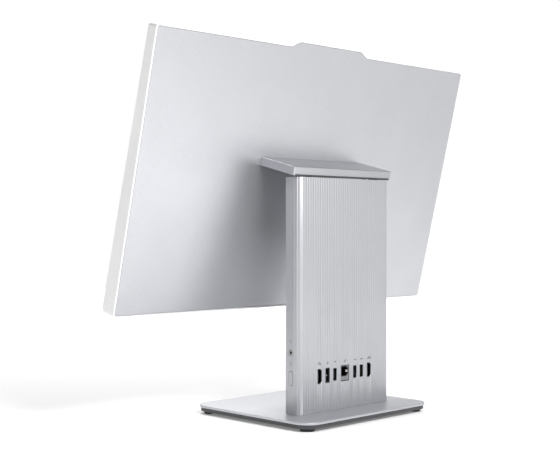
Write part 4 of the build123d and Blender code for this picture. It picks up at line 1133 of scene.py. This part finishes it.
# ---------------------------------------------------------------- sockets
class COMPUTER_OT_sockets(bpy.types.Operator):
    """Sockets low on the column's rear, each a shell, its tongue and its contacts"""

    bl_idname = "computer.sockets"
    bl_label = "Sockets"

    def execute(self, context):
        place = column_place()
        for name in SOCKETS:
            corners, radii = socket_outline(name, place)
            low, high = box_in(place, name)
            mouth, foot = low.z, high.z
            centre = middle_of(low, high)
            if name == "ethernet_port":
                self.ethernet(place, name, corners, radii, centre, mouth, foot)
                continue
            kind = name.split("_")[0]
            wall = {"hdmi": 0.7, "usb": 0.42, "power": 0.6}[kind] * MM
            lip = 0.12 * MM
            levels = [
                (0, foot), (0, mouth + lip), (lip, mouth), (wall - lip, mouth),
                (wall, mouth + 2 * lip), (wall, foot - 2 * MM),
            ]
            shell = stack(f"{name}_shell", place, corners, radii, levels, steps=4)
            # Video and USB shells are near black: painted shade for the dark inside of their
            # openings
            shell_finish = "glossy_nylon" if kind == "power" else "shade_darkened_steel"
            dress(shell, shell_finish, "stand", "socket_metal", name)
            self.tongue(place, name, kind, centre, mouth, foot)
        return {"FINISHED"}

    def tongue(self, place, name, kind, centre, mouth, foot):
        """Plastic tongue inside a shell, with its row of contacts; the inlet has a pin."""
        # width, height and sideways shift in mm, number of contacts, their spacing in mm
        across, tall, shift, count, pitch = {
            "hdmi": (1.2, 11.0, 0.6, 10, 1.0),
            "usb": (1.6, 11.0, -1.1, 4, 2.5),
            "power": (1.6, 1.6, 0.0, 1, 1.0),
        }[kind]
        bar = rectangle(centre.x + shift * MM, centre.y, across * MM, tall * MM)
        tip = mouth + 1.5 * MM
        levels = [(0, foot - 2.2 * MM), (0, tip + 0.3 * MM), (0.15 * MM, tip)]
        tongue = stack(f"{name}_tongue", place, bar, [0.25 * MM] * 4, levels, steps=2)
        tongue_finish = "nickel_plated_steel" if kind == "power" else "glossy_nylon"
        dress(tongue, tongue_finish, "stand", "inlet_plastic")
        if kind == "power":
            return
        length = 6 * MM
        width = 0.45 * pitch * MM if kind == "hdmi" else 1.0 * MM
        thickness = 0.12 * MM
        sunk = 0.05 * MM
        face = centre.x + shift * MM + across / 2 * MM
        y = (place @ Vector((0, 0, tip + length / 2 + 0.3 * MM))).y
        on_side = axes((face - sunk, y, centre.y), Y_WAY, Z_WAY)
        contacts = slot_row(
            f"{name}_contacts", on_side, (0, 0, 0), (0, pitch * MM, 0), count,
            (length, width, thickness), 0.1 * MM, "gold_plating",
        )
        dress(contacts, "gold_plating", "stand", "socket_metal")

    def ethernet(self, place, name, corners, radii, centre, mouth, foot):
        """Network socket: grey block, stepped opening with a latch notch, spring contacts."""
        lip = 0.25 * MM
        levels = [
            (0, foot), (0, mouth + lip), (0.1 * MM, mouth + lip / 3), (lip, mouth),
            (3 * lip, mouth),
        ]
        block = stack("network_socket_block", place, corners, radii, levels, steps=4)
        plug_x = centre.x + 1.2 * MM
        plug_z = centre.y + 2.2 * MM
        opening = [
            (-5, -5.9), (5.1, -5.9), (5.1, 5.9), (-5, 5.9),
            (-5, 4.2), (-7.4, 4.2), (-7.4, -4.2), (-5, -4.2),
        ]
        spots = [(plug_x + a * MM, plug_z + b * MM) for a, b in opening]
        rounds = [0.3 * MM] * len(spots)
        flare = [(-0.5 * MM, mouth - 0.3 * MM), (0, mouth + 0.25 * MM), (0, foot - 1.5 * MM)]
        carve(block, [stack("cut_network", place, spots, rounds, flare, steps=2)])
        dress(block, "satin_nickel", "stand", "socket_metal", name)
        liner = [
            (0.02 * MM, foot - 1.55 * MM), (0.02 * MM, mouth + 1.2 * MM),
            (0.32 * MM, mouth + 1.2 * MM), (0.32 * MM, foot - 1.9 * MM),
        ]
        lining = stack("network_socket_liner", place, spots, rounds, liner, steps=2)
        dress(lining, "glossy_nylon", "stand", "inlet_plastic")
        notch = rectangle(plug_x - 5.2 * MM, plug_z, 3.4 * MM, 3.2 * MM)
        levels = [(0, mouth + 4 * MM), (0, mouth + 0.9 * MM), (0.3 * MM, mouth + 0.6 * MM)]
        catch = stack("network_socket_catch", place, notch, [0.4 * MM] * 4, levels, steps=2)
        dress(catch, "nickel_plated_steel", "stand", "socket_metal")
        y = (place @ Vector((0, 0, mouth + 6.5 * MM))).y
        on_side = axes((plug_x + 4.6 * MM, y, plug_z), -Y_WAY, Z_WAY)
        spacing, count = 1.02 * MM, 8
        contacts = slot_row(
            "network_socket_contacts", on_side, (0, 0, 0), (0, spacing, 0), count,
            (8 * MM, 0.4 * MM, 0.5 * MM), 0.15 * MM, "gold_plating",
        )
        dress(contacts, "gold_plating", "stand", "socket_metal")


class COMPUTER_OT_headphone_jack(bpy.types.Operator):
    """Headphone jack on the column's side: plated barrel with a rounded mouth"""

    bl_idname = "computer.headphone_jack"
    bl_label = "Headphone jack"

    def execute(self, context):
        low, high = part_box("headphone_jack")
        side = axes((high.x, 0, 0), Y_WAY, Z_WAY)
        barrel = JACK_BARREL
        bore = 1.8 * MM
        ease = 0.3 * MM
        depth = high.x - low.x
        levels = [(0, -depth), (0, -2 * ease)]
        levels += edge_arc(ease, -ease, ease, 180, 90)
        levels += edge_arc(barrel - bore - ease, -ease, ease, 90, 0)
        levels += [(barrel - bore, -3 * ease), (barrel - bore, -depth + 0.5 * MM)]
        centre = middle_of(low, high)
        circle = rectangle(centre.y, centre.z, 2 * barrel, 2 * barrel)
        piece = stack("headphone_barrel", side, circle, [barrel] * 4, levels)
        dress(piece, "nickel_plated_steel", "stand", "socket_metal", "headphone_jack")
        return {"FINISHED"}


# Printed marks over each socket: sideways and upward offset from its middle, width, height, mm
PORT_MARKS = {
    "hdmi_input_port": ((0.2, 14.6, 6.6, 1.3), (0.6, 16.4, 2.6, 1.1)),
    "power_inlet": ((0, 15.0, 1.8, 3.2), (1.6, 14.2, 1.0, 1.4)),
    "usb_port_1": ((0, 15.2, 3.6, 1.7),),
    "ethernet_port": ((0.8, 14.2, 2.4, 2.4), (-1.2, 15.8, 1.8, 2.4)),
    "usb_port_2": ((0, 14.8, 4.6, 1.3),),
    "usb_port_3": ((0, 14.6, 5.8, 1.5),),
    "hdmi_output_port": ((0, 14.4, 7.0, 1.5), (-0.6, 15.8, 4.4, 1.0)),
}
# Rings on the side: upward offset from the jack's middle, width, height, mm
SIDE_MARKS = ((12.9, 2.4, 3.4), (-13.3, 2.6, 3.2))


class COMPUTER_OT_printed_marks(bpy.types.Operator):
    """Small plain printed marks over the sockets and beside the side controls"""

    bl_idname = "computer.printed_marks"
    bl_label = "Printed marks"

    def execute(self, context):
        place = column_place()
        made = bmesh.new()
        for name, marks in PORT_MARKS.items():
            centre = middle_of(*box_in(place, name))
            for dx, dz, width, height in marks:
                spot = rectangle(
                    centre.x + dx * MM, centre.y + dz * MM, width * MM, height * MM,
                )
                radius = 0.45 * min(width, height) * MM
                add_stack(
                    made, place, spot, [radius] * 4, [(0, 0.5 * MM), (0, -TINY)], steps=2,
                )
        side = column_side()
        jack = middle_of(*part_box("headphone_jack"))
        stroke, root = 0.45 * MM, -0.2 * MM
        ring = [(0, root), (0, TINY), (stroke, TINY), (stroke, root)]
        for dz, width, height in SIDE_MARKS:
            spot = rectangle(jack.y, jack.z + dz * MM, width * MM, height * MM)
            radius = 0.48 * min(width, height) * MM
            add_stack(made, side, spot, [radius] * 4, ring, loop=True, steps=4)
        piece = finished("printed_marks", made)
        dress(piece, "printed_ink", "stand", "dark_plastic")
        return {"FINISHED"}


# ---------------------------------------------------------------- cooling
class COMPUTER_OT_cooling(bpy.types.Operator):
    """Blower rotor with its curved blades, and the fins over the heat pipe"""

    bl_idname = "computer.cooling"
    bl_label = "Cooling"

    def execute(self, context):
        low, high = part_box("blower_rotor")
        centre = middle_of(low, high)
        radius = (high.x - low.x) / 2
        height = high.y - low.y
        place = axes((centre.x, low.y, centre.z), Z_WAY, X_WAY)
        hub = 11 * MM
        shaft = 1.6 * MM
        ease = 0.8 * MM
        circle = rectangle(0, 0, 2 * hub, 2 * hub)
        cup = [
            (0, 0), (0, height - ease), (ease, height), (hub - shaft, height),
            (hub - shaft, 0),
        ]
        rotor = stack("blower_hub", place, circle, [hub] * 4, cup, loop=True)
        dress(rotor, "glossy_nylon", "blower_rotor", "dark_plastic")
        root, tip, lean, blade_count = 0.5 * MM, 0.6 * MM, 5 * MM, 31
        values = {
            "Inner Radius": hub - root, "Outer Radius": radius - tip, "Lean": lean,
            "Height": height, "Count": blade_count, "Finish": finish("glossy_nylon"),
        }
        blades = grow("blower_blades", blade_ring_tree(), values)
        skin = blades.modifiers.new("Skin", "SOLIDIFY")
        skin.thickness = 0.7 * MM
        skin.offset = 0
        settle(blades)
        blades.data.transform(place)
        dress(blades, "glossy_nylon", "blower_rotor", "dark_plastic", "blower_rotor")
        fin_low, fin_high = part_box("fin_stack")
        centre = middle_of(fin_low, fin_high)
        fin_thickness, fin_pitch, fin_count = 0.3 * MM, 1.6 * MM, 41
        fins = slot_row(
            "cooling_fins", axes((0, 0, 0), X_WAY, Z_WAY),
            (centre.x, centre.z, -fin_high.y), (fin_pitch, 0, 0), fin_count,
            (fin_thickness, fin_high.z - fin_low.z, fin_high.y - fin_low.y), 0.05 * MM,
            "mill_aluminium",
        )
        dress(fins, "mill_aluminium", "stand", "fin_aluminium", "fin_stack")
        return {"FINISHED"}


# ---------------------------------------------------------------- base
class COMPUTER_OT_base(bpy.types.Operator):
    """Base plate with its grooved edge, the dark tray under it and four rubber feet"""

    bl_idname = "computer.base"
    bl_label = "Base"

    def execute(self, context):
        shape = context.scene.base_shape
        place = Matrix.Identity(4)
        low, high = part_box("base_plate")
        corners = rectangle(0, 0, high.x - low.x, high.y - low.y)
        ease = 0.45 * MM
        cut = high.z - shape.groove_drop
        groove_foot, slope = cut - 0.45 * MM, 0.1 * MM
        levels = [(3 * MM, low.z), (ease, low.z), (0, low.z + ease), (0, cut - 0.75 * MM)]
        levels += [(0, groove_foot - slope), (shape.groove, groove_foot)]
        levels += [(shape.groove, cut), (0, cut + slope)]
        levels += edge_arc(ease, high.z - ease, ease, 180, 90)
        levels += [(2 * ease, high.z), (6 * ease, high.z)]
        plate = stack("base_top_plate", place, corners, [shape.corner] * 4, levels, steps=10)
        self.cut_openings(plate, place, low, high)
        dress(plate, "blasted_aluminium", "stand", "anodised_aluminium", "base_plate")

        tray_low, tray_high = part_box("base_tray")
        corners = rectangle(0, 0, tray_high.x - tray_low.x, tray_high.y - tray_low.y)
        radius = shape.corner - shape.tray_inset
        soft = 0.8 * MM
        wall = shape.tray_wall
        levels = [(3 * soft, tray_low.z), (1.5 * soft, tray_low.z)]
        levels += edge_arc(soft, tray_low.z + soft, soft, 270, 180)
        levels += [
            (0, tray_high.z), (wall, tray_high.z), (wall, tray_low.z + wall),
            (3 * wall, tray_low.z + wall),
        ]
        tray = stack("base_tray_shell", place, corners, [radius] * 4, levels, steps=10)
        dress(tray, "dark_grey_abs", "stand", "dark_plastic", "base_tray")
        self.feet()
        return {"FINISHED"}

    def cut_openings(self, plate, place, low, high):
        """Slot that the column frame's steel passes through, and the screws' holes."""
        frame_low, frame_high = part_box("column_frame")
        screw_low, screw_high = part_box("base_screws")
        gap = 0.3 * MM
        steel = 1.2 * MM
        inset = 9 * MM
        wide = frame_high.x - frame_low.x - 2 * inset
        slot = rectangle(0, frame_low.y + steel / 2, wide, steel + 2 * gap)
        through = [(0, low.z - MM), (0, high.z + MM)]
        cutters = [stack("cut_slot", place, slot, [0.1 * MM] * 4, through, steps=1)]
        head = 2.8 * MM
        bore = 1.6 * MM
        blind = [(0, low.z - MM), (0, screw_high.z + 0.05 * MM)]
        for x in (screw_low.x + head, 0, screw_high.x - head):
            for y in (screw_low.y + head, screw_high.y - head):
                hole = rectangle(x, y, 2 * bore, 2 * bore)
                cutters.append(stack("cut_screw", place, hole, [bore] * 4, blind, steps=3))
        carve(plate, cutters)

    def feet(self):
        """Four oblong rubber feet with a rounded sole and a shallow recess."""
        low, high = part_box("rubber_feet")
        length, width = 17 * MM, 11 * MM
        slant = math.radians(45)
        reach = ((length - width) / 2) * math.cos(slant) + width / 2
        oblong = rectangle(0, 0, length, width)
        levels = [
            (2.2 * MM, low.z + 0.5 * MM), (1.9 * MM, low.z + 0.1 * MM),
            (1.6 * MM, low.z), (0.6 * MM, low.z), (0.2 * MM, low.z + 0.15 * MM),
            (0, low.z + 0.6 * MM), (0, high.z),
        ]
        made = bmesh.new()
        for side_x in (-1, 1):
            for side_y in (-1, 1):
                turn = Matrix.Rotation(-slant * side_x * side_y, 4, "Z")
                corner = (side_x * (high.x - reach), side_y * (high.y - reach), 0)
                spot = Matrix.Translation(corner) @ turn
                add_stack(made, spot, oblong, [width / 2 - TINY] * 4, levels)
        piece = finished("base_rubber_feet", made)
        dress(piece, "moulded_rubber", "stand", "rubber", "rubber_feet")


# ---------------------------------------------------------------- carried-over nodes and stage
class COMPUTER_OT_kept_nodes(bpy.types.Operator):
    """Finishes of the CAD nodes that keep their own shape"""

    bl_idname = "computer.kept_nodes"
    bl_label = "Kept nodes"

    def execute(self, context):
        for finish_name, names in KEPT_NODES.items():
            for name in names:
                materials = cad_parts[name].data.materials
                for i in range(len(materials)):
                    materials[i] = finish(finish_name)
        return {"FINISHED"}


FLOOR_SIDE = 4.8
SENSOR_WIDTH = 36.0
# The sky is full up to the first height, as the sine of its angle, and dim from the second on
SKY_FADE = (0.22, 0.55)
# Lights: name, place, the point it looks at, width, height, power in watts
LIGHTS = (
    ("overhead_key", (0.25, 1.10, 0.95), (0.20, 1.00, 0.0), 0.6, 0.5, 23.0),
    ("front_wash", (-1.2, -1.7, 2.0), (-1.2, -1.7, 0.0), 2.4, 2.0, 70.0),
)


class COMPUTER_OT_stage(bpy.types.Operator):
    """Plain pale floor, soft studio light and the camera"""

    bl_idname = "computer.stage"
    bl_label = "Stage"

    def execute(self, context):
        scene = context.scene
        setup = scene.stage_setup
        made = bmesh.new()
        corners = rectangle(0, 0, FLOOR_SIDE, FLOOR_SIDE)
        made.faces.new([made.verts.new((x, y, 0)) for x, y in corners])
        floor = finished("studio_floor", made)
        # white uncoated paper, lit a little from below: even and without gloss
        paper = bpy.data.materials.new("white_paper_sweep")
        paper.use_nodes = True
        tree = paper.node_tree
        shader = tree.nodes["Principled BSDF"]
        shader.inputs["Base Color"].default_value = list(setup.floor) + [1.0]
        shader.inputs["Roughness"].default_value = 0.9
        shader.inputs["Emission Color"].default_value = linear("#FFFFFF")
        shader.inputs["Emission Strength"].default_value = setup.glow
        floor.data.materials.append(paper)
        world = bpy.data.worlds.new("studio")
        scene.world = world
        world.use_nodes = True
        tree = world.node_tree
        tree.nodes.clear()
        way = add(tree, "ShaderNodeTexCoord").outputs["Generated"]
        rise = add(tree, "ShaderNodeSeparateXYZ", {"Vector": way}).outputs["Z"]
        strength = add(
            tree, "ShaderNodeMapRange",
            {0: rise, 1: SKY_FADE[0], 2: SKY_FADE[1], 3: 1.0, 4: setup.zenith},
        ).outputs[0]
        sky = add(
            tree, "ShaderNodeBackground", {"Color": linear("#FFFFFF"), "Strength": strength}
        )
        add(tree, "ShaderNodeOutputWorld", {"Surface": sky.outputs["Background"]})
        for name, spot, target, width, height, power in LIGHTS:
            data = bpy.data.lights.new(name, "AREA")
            data.shape = "RECTANGLE"
            data.size = width
            data.size_y = height
            data.energy = power
            lamp = bpy.data.objects.new(name, data)
            lamp.location = spot
            look = Vector(target) - Vector(spot)
            lamp.rotation_euler = look.to_track_quat("-Z", "Y").to_euler()
            lamp.visible_camera = False
            scene.collection.objects.link(lamp)
        camera = bpy.data.objects.new("camera", bpy.data.cameras.new("camera"))
        camera.location = setup.camera
        camera.rotation_euler = (setup.tilt, 0, setup.heading)
        camera.data.lens = setup.lens
        camera.data.sensor_width = SENSOR_WIDTH
        camera.data.clip_start = 0.01
        scene.collection.objects.link(camera)
        scene.camera = camera
        scene.view_settings.view_transform = "Standard"
        return {"FINISHED"}


GROUPS = (
    ("shell_colours", ShellColours),
    ("display_shape", DisplayShape),
    ("column_shape", ColumnShape),
    ("base_shape", BaseShape),
    ("stage_setup", StageSetup),
)
STEPS = (
    COMPUTER_OT_stage,
    COMPUTER_OT_kept_nodes,
    COMPUTER_OT_display_frame,
    COMPUTER_OT_display_cover,
    COMPUTER_OT_screen_surround,
    COMPUTER_OT_camera,
    COMPUTER_OT_neck_plate,
    COMPUTER_OT_column_cover,
    COMPUTER_OT_column_panels,
    COMPUTER_OT_sockets,
    COMPUTER_OT_headphone_jack,
    COMPUTER_OT_printed_marks,
    COMPUTER_OT_cooling,
    COMPUTER_OT_base,
)


class COMPUTER_PT_build(bpy.types.Panel):
    """Sidebar panel with the sizes and the steps"""

    bl_label = "All-in-one computer"
    bl_idname = "COMPUTER_PT_build"
    bl_space_type = "VIEW_3D"
    bl_region_type = "UI"
    bl_category = "Computer"

    def draw(self, context):
        for attribute, group in GROUPS:
            box = self.layout.box()
            box.label(text=group.__doc__)
            values = getattr(context.scene, attribute)
            for name in group.__annotations__:
                box.prop(values, name)
        for step in STEPS:
            self.layout.operator(step.bl_idname)


def register():
    """Registers the property groups, the steps and the panel."""
    for attribute, group in GROUPS:
        bpy.utils.register_class(group)
        setattr(bpy.types.Scene, attribute, bpy.props.PointerProperty(type=group))
    for step in STEPS:
        bpy.utils.register_class(step)
    bpy.utils.register_class(COMPUTER_PT_build)


def unregister():
    """Takes away what register() added."""
    bpy.utils.unregister_class(COMPUTER_PT_build)
    for step in reversed(STEPS):
        bpy.utils.unregister_class(step)
    for attribute, group in reversed(GROUPS):
        delattr(bpy.types.Scene, attribute)
        bpy.utils.unregister_class(group)


def main():
    register()
    for step in STEPS:
        family, name = step.bl_idname.split(".")
        getattr(getattr(bpy.ops, family), name)()


if __name__ == "__main__":
    main()
